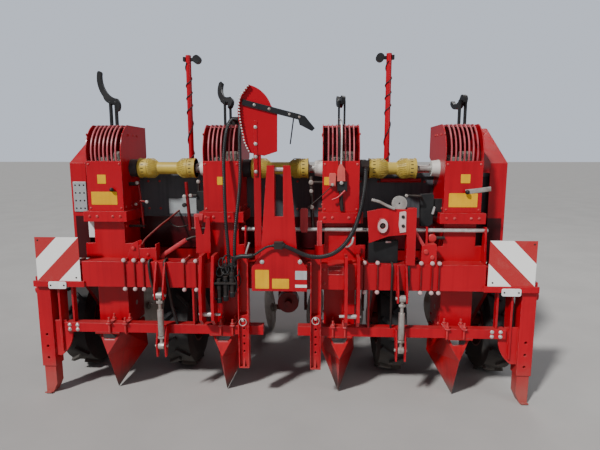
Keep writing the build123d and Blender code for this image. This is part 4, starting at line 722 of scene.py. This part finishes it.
# The bolts stand on a circle round the hub's axis
def makeHubs(wheelXs, y, z, circle, face, offset, discY, discZ, toe, discFace, discCircle):
    for number, x in enumerate(wheelXs, 1):
        side = 1 if x > 0 else -1
        t, hub = anglesOf(5), (x + side * face, y, z)
        ring = triples(hub[0], y + circle * np.cos(t), z + circle * np.sin(t))
        bolts = copyPart(boltPart(0.009, (side, 0, 0)), ring)
        cap = turnedPart([(-0.006, 0.028), (0.010, 0.028), (0.018, 0.024), (0.022, 0.012)], hub,
                         (side, 0, 0), 28)
        valve = turnedPart([(0, 0.004), (0.030, 0.004), (0.032, 0.0055), (0.046, 0.005)],
                           (x + side * 0.020, y, z + 0.165), (side, 0, -0.25), 10)
        makePiece(f"wheel_bolts_{number}", [bolts, cap, valve], "wornSteel", body=f"wheel_{number}")
    turn = math.radians(toe)
    discs = [(x, side) for x in rowXs[::-1] for side in (1, -1)]
    for number, (x, side) in enumerate(discs, 1):
        axis, u, v = sidesOf((-side * math.cos(turn), -math.sin(turn), 0.0))
        hub = (x + side * offset, discY, discZ) + discFace * axis
        bolts = copyPart(boltPart(0.0055, axis), hub + discCircle * circleOf(anglesOf(4, 0.5), u, v))
        cap = turnedPart([(-0.004, 0.0205), (0.004, 0.0205), (0.010, 0.015), (0.012, 0.006)], hub, axis, 20)
        makePiece(f"disc_bolts_{number}", [bolts, cap], "wornSteel", body=f"disc_{number}")


# Guards: ribs along each bell, two raised bands round it and vents between them; X and way of each open end
guardLook = {"y": -0.645, "z": 1.487, "waist": 0.040, "bell": 0.063, "length": 0.070, "taper": 0.055,
             "ribCount": 30, "rib": 0.0014, "slotCount": 16, "slotAt": 0.032,
             "bandsAt": [(0.0, 0.0035), (0.052, 0.0028)],
             "ends": [(-0.953, 1), (-0.574, -1), (-0.203, 1), (0.169, -1), (0.559, 1), (0.863, -1)]}


# A rib's line keeps the bell's radius for half its way and then goes down evenly to the waist's
def makeGuards(y, z, waist, bell, length, taper, ribCount, rib, slotCount, slotAt, bandsAt, ends):
    ribs, bands, vents = [], [], []
    s = np.linspace(0, 1, 7)
    height = (np.where(s < 0.5, bell, bell + (waist - bell) * (s - 0.5) * 2) + 0.0006)[:, None]
    along = (length - 0.006 + (taper + 0.004) * s)[:, None]
    slot = platePart(roundOutline(0.018, 0.0055, 0.0026), (0, 0, 0), 0.0012, (0, 0, 1), (0, 1, 0), 0.0004)
    for x, way in ends:
        centre = np.array([x, y, z])
        axis, u, v = sidesOf((way, 0, 0))
        for at, rise in bandsAt:
            bands.append(turnedPart([(at, bell - 0.002), (at + 0.001, bell + rise), (at + 0.009, bell + rise),
                                     (at + 0.011, bell - 0.001)], centre, axis, 48))
        for out in circleOf(anglesOf(ribCount), u, v):
            ribs.append(pathPart(centre + along * axis + height * out, rib, up=np.cross(axis, out), steps=6))
        outs = circleOf(anglesOf(slotCount), u, v)
        turns = np.stack([np.broadcast_to(axis, outs.shape), np.cross(outs, axis), outs], axis=2)
        vents.append(copyPart(slot, centre + slotAt * axis + (bell - 0.0008) * outs, turns))
    makePiece("guard_ribs", ribs + bands, "creamGuard")
    makePiece("guard_vents", vents, "blackPlastic")


# Hose guide: studs along its curved rim, bolts down its strip, and the arm's bolts and holes
guideLook = {"rim": [(-0.178, 1.984), (-0.235, 1.915), (-0.243, 1.870), (-0.240, 1.800), (-0.229, 1.731),
                     (-0.214, 1.650), (-0.183, 1.584)], "rimY": -0.888, "inset": 0.0025, "count": 24,
             "r": 0.0058, "boltX": -0.146, "boltY": -0.870, "boltZs": [1.737, 1.637, 1.560, 1.470],
             "armY": -0.876, "armBolts": [(-0.150, 1.866), (-0.060, 1.842)],
             "armHoles": [(0.060, 1.812), (0.120, 1.795)]}


# Lengths along a line of points, from 0 at its first
def runOf(points):
    return np.concatenate([[0], np.cumsum(np.linalg.norm(np.diff(points, axis=0), axis=1))])


# The studs stand at even lengths along the rim, and each is a turned button of radius r
def makeGuide(rim, rimY, inset, count, r, boltX, boltY, boltZs, armY, armBolts, armHoles):
    run, (x, z) = runOf(rim), np.transpose(rim)
    s = np.linspace(0.012, run[-1] - 0.012, count)
    stud = turnedPart([(-0.002, r), (0.001, r), (0.003, 0.75 * r), (0.004, 0.3 * r)], steps=14)
    studs = copyPart(stud, triples(np.interp(s, run, x) + inset, rimY, np.interp(s, run, z)))
    makePiece("guide_studs", studs, "zincSteel")
    makePiece("guide_bolts", copyPart(boltPart(0.0085), triples(boltX, boltY, boltZs)), "zincSteel")
    hole = turnedPart([(-0.001, 0.0075), (0.0012, 0.0075), (0.0014, 0.005)], steps=16)
    makePiece("arm_bolts", [copyPart(boltPart(0.0075), [(x, armY, z) for x, z in armBolts]),
                            copyPart(hole, [(x, armY, z) for x, z in armHoles])], "wornSteel")


# Lamp poles, with a cable wound round each, and the lamps' rings and lenses
poleLook = {"xs": (-0.648, 0.695), "y": -0.492, "reach": 0.0207, "cable": 0.0032, "lowZ": 1.50,
            "highZ": 2.185, "turns": 5.5, "lampXs": (-0.589, 0.636), "lampY": -0.469, "lampZ": 2.209}


# The cable's line: the pole's axis plus the reach times cosine and sine of a turn that grows with Z
def makePoles(xs, y, reach, cable, lowZ, highZ, turns, lampXs, lampY, lampZ):
    s = np.linspace(0, 1, 180)
    t = 2 * np.pi * (turns * s + 0.35 * np.sin(2 * np.pi * (1.3 * s + 0.1)))
    z = lowZ + (highZ - lowZ) * s
    makePiece("pole_cables", [pathPart(triples(x + reach * np.cos(t), y + reach * np.sin(t), z), cable,
                                       up=(0, 0, 1), steps=8) for x in xs], "hoseRubber")
    ring = [(-0.004, 0.0268), (0.002, 0.0268), (0.003, 0.0255), (0.003, 0.021), (0.0, 0.020)]
    lens = [(-0.002, 0.0205), (0.0006, 0.0205), (0.0022, 0.015), (0.0030, 0.006)]
    lamps = triples(lampXs, lampY, lampZ)
    makePiece("lamp_rings", copyPart(turnedPart(ring, axis=(0, 1, 0), steps=32), lamps), "blackPlastic")
    makePiece("lamp_lenses", copyPart(turnedPart(lens, axis=(0, 1, 0), steps=32), lamps), "paleLens")


# Three lines of holes in the holed plate, and a red tube behind row 1's shaft
greyLook = {"holeXs": (-1.4435, -1.4135, -1.3835), "holeY": -0.5815, "holeZs": np.linspace(1.208, 1.368, 4),
            "start": (0.651, -0.545, 1.404), "end": (0.921, -0.545, 1.404), "radius": 0.0135}


def makeGreys(holeXs, holeY, holeZs, start, end, radius):
    hole = turnedPart([(-0.001, 0.006), (0.0008, 0.006), (0.001, 0.004)], steps=14)
    makePiece("plate_holes", copyPart(hole, gridPlaces(holeXs, holeY, holeZs)), "darkSteel")
    tube = pathPart(np.linspace(start, end, 6), radius, up=(0, 0, 1), steps=18)
    makePiece("red_tube", tube, "redPaint")


# Levers: width, share of it that the thickness has, and points; knobs: places and radius
leverLook = {
    "row_lever_1": (0.015, 0.25, (1.139, -0.806, 1.346), (1.190, -0.808, 1.352), (1.292, -0.808, 1.366)),
    "console_lever": (0.0085, 0.6, (0.553, -0.935, 1.308), (0.600, -0.935, 1.296), (0.650, -0.933, 1.270),
                      (0.692, -0.930, 1.254)),
}
knobLook = {"places": [(1.145, -0.815, 1.346), (-1.075, -0.808, 1.354)], "r": 0.014}


# Points at even lengths along a line, each drawn to the mean of its neighbours by half
def smoothPath(points, count=24):
    points = np.array(points, float)
    run = runOf(points)
    s = np.linspace(0, run[-1], count)
    line = np.stack([np.interp(s, run, points[:, i]) for i in range(3)], axis=1)
    return np.vstack([line[:1], (line[:-2] + 2 * line[1:-1] + line[2:]) / 4, line[-1:]])


# A knob's profile is a circle: radius minus radius times cosine, and radius times sine
def makeLevers(levers, places, r):
    for name, (wide, flat, *points) in levers.items():
        makePiece(name, pathPart(smoothPath(points), wide, up=(0, 1, 0), steps=14, flat=flat), "wornSteel")
    t = np.linspace(0.35, 2.9, 9)
    ball = turnedPart(np.stack([r - r * np.cos(t), r * np.sin(t)], axis=1), steps=20)
    makePiece("lever_knobs", copyPart(ball, places), "blackPlastic")


# Linch pins of radius r through the inner legs, each with a ring that hangs from it
linchLook = {"places": [(-0.224, -0.960, 0.565), (0.224, -0.960, 0.580)], "r": 0.005, "ring": 0.022,
             "wire": 0.0022}


# The ring's line is a circle in X and Z that leans back a little by the sine
def makeLinches(places, r, ring, wire):
    t = anglesOf(28)
    pin = turnedPart([(0, r), (0.018, r), (0.020, 1.7 * r), (0.030, 1.7 * r), (0.032, 1.2 * r)])
    loop = triples(ring * np.cos(t), -0.024 - 0.004 * np.sin(t), -0.012 - ring * np.sin(t))
    parts = joinParts([pin, pathPart(loop, wire, up=(0, 1, 0), steps=8, closed=True)])
    makePiece("linch_pins", copyPart(parts, places), "zincSteel")


# Spindle lock nuts of radius r
spindleLook = {"xs": (-0.750, 0.750), "y": -0.948, "zs": (0.655, 0.425), "r": 0.023, "height": 0.016}


def makeSpindles(xs, y, zs, r, height):
    profile = [(0, 0.9 * r), (0.002, r), (height - 0.002, r), (height, 0.9 * r)]
    nut = turnedPart(profile, axis=(0, 0, 1), steps=6)
    makePiece("spindle_nuts", copyPart(nut, gridPlaces(xs, y, zs)), "wornSteel")


# Links and rods between the rows, in millimetres: radius, share of it that the thickness has, and points
rodLook = {
    "links_red": ("redDark", "red_worn",
        (7.5, 1, (-955, -700, 1400), (-942, -700, 1313), (-939, -700, 1247), (-926, -700, 1090)),
        (6.5, 1, (-979, -708, 1247), (-938, -708, 1273), (-891, -708, 1267)),
        (11, 1, (-622, -730, 1400), (-616, -730, 1283), (-608, -730, 1157), (-604, -730, 1084)),
        (7, 1, (-900, -838, 985), (-888, -800, 1029), (-846, -740, 1076), (-803, -720, 1116),
         (-775, -660, 1143), (-740, -524, 1190))),
    "links_pale": ("redPale", "red_paint",
        (14, 0.5, (-778, -800, 908), (-771, -800, 929), (-612, -800, 1033)),
        (6, 1, (321, -838, 1297), (358, -840, 1313), (400, -832, 1354)),
        (10, 0.6, (820, -884, 1120), (890, -872, 1010))),
    "links_dark": ("darkSteel", "steel",
        (13, 1, (-1014, -700, 1385), (-946, -700, 1385)),
        (9, 1, (-1027, -700, 1105), (-918, -700, 1105)),
        (4.5, 1, (-776, -656, 1142), (-770, -640, 1119), (-743, -640, 1098), (-716, -640, 1091),
         (-674, -650, 1095), (-633, -690, 1109), (-606, -728, 1125)),
        (9, 1, (-632, -730, 1312), (-555, -730, 1312)),
        (8, 1, (-614, -730, 1095), (-473, -730, 1095)),
        (8, 1, (-548, -700, 1330), (-548, -700, 1402)),
        (8, 1, (-618, -800, 1030), (-575, -790, 1047), (-473, -770, 1060)),
        (12, 1, (188, -720, 1430), (189, -760, 1390), (192, -760, 1352), (195, -770, 1256),
         (204, -792, 1112)),
        (9, 1, (189, -760, 1400), (262, -760, 1400)),
        (3, 1, (322, -828, 1385), (234, -822, 1300), (146, -814, 1225)),
        (12, 1, (374, -820, 1355), (376, -820, 1300), (384, -816, 1228)),
        (3.5, 1, (360, -832, 1510), (360, -832, 1700), (358, -790, 1790), (362, -600, 1805)),
        (7, 1, (769, -850, 1326), (859, -850, 1323), (884, -785, 1295)),
        (11, 1, (930, -800, 1057), (1027, -800, 1057)),
        (8, 1, (-826, -850, 913), (-826, -902, 915), (-825, -911, 890), (-818, -909, 800),
         (-790, -925, 700)),
        (9, 1, (-728, -850, 914), (-728, -902, 916), (-727, -912, 890), (-715, -910, 800),
         (-690, -900, 620), (-665, -885, 497)),
        (7, 1, (692, -850, 912), (692, -902, 914), (691, -910, 890), (690, -908, 750), (694, -890, 497)),
        (8, 1, (790, -850, 913), (790, -902, 915), (790, -911, 890), (792, -909, 800), (780, -925, 700))),
    "links_zinc": ("zincSteel", "steel",
        (5.5, 1, (374, -832, 1510), (376, -832, 1700), (376, -790, 1785), (372, -600, 1800)),
        (7, 1, (410, -778, 990), (424, -850, 1003), (446, -862, 1030), (455, -860, 1068)),
        (6, 1, (-210, -935, 950), (-202, -940, 985), (-182, -942, 1045)),
        (8, 1, (957, -800, 1253), (946, -800, 1207))),
}


# A rectangle by two of its corners
def sheet(x, z, otherX, otherZ):
    return (x, z), (otherX, z), (otherX, otherZ), (x, otherZ)


# Plates cut to an outline of X and Z points, in millimetres: Y of their back, thickness and points
plateLook = {
    "connector_blocks": ("salmonBlock", "red_paint",
        (-806, 30, (301, 1384), (341, 1380), (345, 1455), (338, 1461), (306, 1461), (301, 1452)),
        (-806, 34, (350, 1411), (401, 1411), (397, 1490), (379, 1516), (364, 1516), (352, 1480))),
    "black_blocks": ("blackPlastic", "black_plastic",
        (-806, 28, (352, 1349), (413, 1349), (413, 1405), (408, 1411), (352, 1411)),
        (-755, 34, (877, 1128), (930, 1128), (954, 1145), (954, 1323), (944, 1333), (870, 1329)),
        (-748, 22, *sheet(940, 1190, 1012, 1300)),
        (-672, 45, (-562, 1222), (-550, 1206), (-488, 1206), (-488, 1340), (-556, 1340)),
        (-800, 60, (549, 904), (731, 904), (731, 1047), (560, 1040), (549, 1030))),
    "beam_brackets": ("redPaint", "red_paint",
        (-846, 8, (-990, 904), (-905, 904), (-906, 1024), (-914, 1030), (-947, 1017), (-976, 953)),
        (-790, 8, (-990, 904), (-905, 904), (-906, 1024), (-914, 1030), (-947, 1017), (-976, 953)),
        (-850, 8, (-902, 904), (-792, 904), (-792, 990), (-902, 984)),
        (-786, 66, *sheet(-902, 904, -894, 1006)),
        (-786, 66, *sheet(-800, 904, -792, 1010)),
        (-836, 50, (868, 904), (964, 904), (960, 1030), (952, 1036), (872, 1024))),
    "pale_brackets": ("redPale", "red_paint",
        (-830, 6, (-546, 1106), (-500, 1113), (-490, 1200), (-496, 1206), (-543, 1206), (-549, 1200)),
        (-830, 8, *sheet(228, 1006, 260, 1165)),
        (-782, 40, (121, 1110), (130, 1088), (166, 1088), (171, 1110), (171, 1232), (163, 1241),
         (128, 1241), (121, 1230))),
    "label_frame": ("redPale", "red_paint",
        (-900, 3, *sheet(296, 889, 394, 894)),
        (-900, 3, *sheet(296, 836, 394, 841)),
        (-900, 3, *sheet(296, 862, 384, 866)),
        (-900, 3, *sheet(296, 841, 301, 889)),
        (-900, 3, *sheet(389, 841, 394, 889))),
    "pale_plates": ("palePrimer", "grey_paint",
        (-919.5, 6, (728, 1106), (764, 1112), (762, 1233), (756, 1239), (722, 1233), (719, 1150)),
        (-859, 6, *sheet(652, 1034, 686, 1046))),
}
# Round heads, in millimetres: X, Y of the seat, Z, radius and height
headLook = {
    "heads_steel": ("wornSteel", (377, -832, 1401, 12, 16), (322, -834, 1390, 10, 12),
        (189, -768, 1400, 16, 14), (190, -768, 1346, 13, 12), (194, -780, 1245, 14, 12),
        (-633, -738, 1306, 13, 12), (-592, -736, 1312, 12, 14), (-548, -704, 1400, 13, 12),
        (-968, -710, 1252, 10, 10), (-894, -710, 1267, 11, 10), (-955, -705, 1392, 12, 12),
        (771, -855, 1326, 10, 10)),
    "heads_pale": ("paintedBolt", (895, -885, 985, 15, 12), (935, -885, 950, 13, 10),
        (947, -806, 1057, 26, 14), (-940, -853, 985, 12, 12), (-846, -857, 945, 8, 8)),
    "heads_dark": ("darkSteel", (743, -925, 1205, 10, 8), (745, -925, 1150, 10, 8),
        (623, -921, 1150, 15, 10), (-636, -738, 1250, 14, 12)),
}
# Rings: finish, middle, outer and inner half width and height, thickness
ringLook = {"console_boss": ("palePrimer", (0.623, -0.9295, 1.150), (0.030, 0.042), (0.018, 0.019), 0.008),
            "console_dial": ("wornSteel", (0.722, -0.9015, 1.283), (0.046, 0.046), (0.006, 0.006), 0.007)}


# A flat ring: middle plus half width times cosine and half height times sine, outside and in, back and front
def ringPart(middle, outer, inner, thickness):
    t = anglesOf(32)
    rings = [triples(wide * np.cos(t), -depth, high * np.sin(t)) for (wide, high), depth
             in ((outer, 0), (outer, thickness), (inner, thickness), (inner, 0))]
    return skinOf(np.array(middle) + rings, True)


# A flat turned head, its rim drawn in twice
def headPart(radius, height):
    return turnedPart([(-0.004, radius), (0.7 * height, radius), (0.9 * height, 0.85 * radius),
                       (height, 0.5 * radius)], steps=20)


# Rods follow their points; plates, heads and rings stand on the faces behind them
def makeFittings(rods, plates, heads, rings):
    for name, (finish, slot, *lines) in rods.items():
        makePiece(name, [pathPart(smoothPath(np.array(points) / 1000), radius / 1000, up=(0.05, 1, 0.1),
                                  steps=12, flat=flat) for radius, flat, *points in lines], finish)
    for name, (finish, slot, *cuts) in plates.items():
        makePiece(name, [platePart(np.array(points) / 1000, (0, y / 1000, 0), thickness / 1000, edge=0.0018)
                         for y, thickness, *points in cuts], finish)
    for name, (finish, *seats) in heads.items():
        makePiece(name, [copyPart(headPart(radius, height), place)
                         for *place, radius, height in np.array(seats) / 1000], finish)
    for name, (finish, *ring) in rings.items():
        makePiece(name, ringPart(*ring), finish)


# Parked couplers: X, Y, top Z and how far their strap bows to the side; loops: X, Z and radius
strapLook = {"couplers": [(-0.352, -0.925, 0.850, -0.9), (-0.372, -0.956, 0.820, -1.3),
                          (-0.330, -0.960, 0.835, 0.3), (-0.316, -0.925, 0.900, 0.8),
                          (-0.278, -0.925, 0.885, 1.2), (-0.289, -0.962, 0.860, 0.9)],
             "length": 0.150, "radius": 0.014, "strap": 0.0032, "bulge": 0.022, "cap": 0.0175,
             "loopY": -0.944,
             "loops": [(-0.352, 0.915, 0.024), (-0.318, 0.930, 0.028), (-0.284, 0.920, 0.026),
                       (-0.300, 0.880, 0.026), (-0.335, 0.876, 0.024), (-0.366, 0.860, 0.022),
                       (-0.268, 0.862, 0.022)],
             "sleeve": [(-0.281, -0.967, 0.930), (-0.259, -0.974, 0.957), (-0.226, -0.980, 0.967),
                        (-0.190, -0.984, 0.967), (-0.155, -0.984, 0.973)], "sleeveRadius": 0.0135}


# Rubber caps on the couplers, each held by a moulded strap whose line bows out by the bulge times the sine of
# its way down. A loop is an ellipse in X and Z that leans to the front on one side
def makeStraps(couplers, length, radius, strap, bulge, cap, loopY, loops, sleeve, sleeveRadius):
    s, t = np.linspace(0, 1, 18), anglesOf(28)
    bow = bulge * np.sin(np.pi * s)
    lowCap, highCap = (turnedPart(profile, axis=(0, 0, 1), steps=20) for profile in (
        [(0, 0.8 * cap), (0.002, cap), (0.030, cap), (0.034, 0.8 * cap)], [(0, cap), (0.010, cap)]))
    parts = [pathPart(smoothPath(sleeve), sleeveRadius, up=(0, 1, 0.1), steps=14)]
    for x, y, top, side in couplers:
        line = triples(x + 0.9 * radius * np.sign(side) + side * bow, y - 0.3 * radius - 0.5 * bow,
                       top - 0.02 + (0.03 - length) * s)
        parts += [pathPart(line, strap, up=(0, 1, 0.2), steps=8), copyPart(highCap, (x, y, top - 0.028)),
                  copyPart(lowCap, (x, y, top - length - 0.004))]
    for number, (x, z, r) in enumerate(loops):
        lean = 0.5 if number % 2 else -0.5
        y = loopY + 0.012 * np.sin(t + lean) + 0.4 * lean * r * np.cos(t)
        line = triples(x + r * np.cos(t), y, z + 1.2 * r * np.sin(t))
        parts.append(pathPart(line, 1.3 * strap, up=(0, 1, 0.1), steps=8, closed=True))
    makePiece("coupler_straps", parts, "blackPlastic")


makeClamps(**clampLook)
makeHooks(**hookLook)
makeSigns(signLook, plainPlates)
makeReflectors(**reflectorLook)
makeBolts(boltSets)
makeHubs(**hubLook)
makeGuards(**guardLook)
makeGuide(**guideLook)
makePoles(**poleLook)
makeGreys(**greyLook)
makeLevers(leverLook, **knobLook)
makeLinches(**linchLook)
makeSpindles(**spindleLook)
makeFittings(rodLook, plateLook, headLook, ringLook)
makeStraps(**strapLook)

# Studio: a pale floor, a key light from the front left, two softer ones, and a sky seen brighter than it is
studio = {"floor": 400.0, "floorColor": (0.40, 0.385, 0.365), "sky": (0.80, 0.87, 1.0), "skySeen": 0.80,
          "skyLight": 0.25, "sun": {"from": (-0.62, -0.80, 0.92), "angle": 5.0, "energy": 4.2},
          "fill": {"place": (5.5, -4.5, 3.0), "target": (0.0, 0.0, 0.9), "size": 4.0, "energy": 80.0},
          "back": {"place": (2.0, 5.0, 7.0), "target": (0.0, 0.2, 1.3), "size": 4.0, "energy": 150.0}}


# The floor is one flat grid that runs far past the view
def makeFloor(look):
    across = np.linspace(-0.5, 0.5, 25) * look["floor"]
    mesh = bpy.data.meshes.new("floor")
    mesh.from_pydata(gridPlaces(across, across, 0.0), [], gridFaces(25, 25)[:, ::-1].tolist())
    material, tree, shader = newMaterial("paleFloor", {"Roughness": 0.8})
    place = objectPlace(tree)
    tone = addRamp(tree, addNoise(tree, place, 1.5, 6.0), 0.3, 0.7)
    darker = tuple(0.92 * value for value in look["floorColor"])
    feed(tree, shader, {"Base Color": addMix(tree, tone, look["floorColor"], darker)})
    addBump(tree, shader, addNoise(tree, place, 90.0, 4.0), 0.15, 0.002)
    mesh.materials.append(material)
    addObject("floor", mesh)


# Turns a lamp so that it shines against the direction away
def placeLamp(name, light, away, place):
    lamp = addObject(name, light)
    lamp.location = place
    tilt = math.atan2(math.hypot(away[0], away[1]), away[2])
    lamp.rotation_euler = (tilt, 0, math.atan2(away[1], away[0]) + math.pi / 2)


def addSun(look):
    light = bpy.data.lights.new("sunLight", "SUN")
    light.energy, light.angle = look["energy"], math.radians(look["angle"])
    placeLamp("sunLight", light, look["from"], (0, 0, 5))


def addPanelLight(name, look):
    light = bpy.data.lights.new(name, "AREA")
    light.shape, light.size, light.energy = "DISK", look["size"], look["energy"]
    placeLamp(name, light, np.array(look["place"]) - np.array(look["target"]), look["place"])


def makeSky(look):
    world = bpy.data.worlds.new("studio")
    world.use_nodes = True
    tree = world.node_tree
    seen = addNode(tree, "LightPath").outputs["Is Camera Ray"]
    strength = addNode(tree, "MapRange", {0: seen, 3: look["skyLight"], 4: look["skySeen"]}).outputs[0]
    feed(tree, tree.nodes["Background"], {0: look["sky"], 1: strength})
    bpy.context.scene.world = world


makeFloor(studio)
addSun(studio["sun"])
addPanelLight("fillLight", studio["fill"])
addPanelLight("backLight", studio["back"])
makeSky(studio)
print("stage: studio lit")
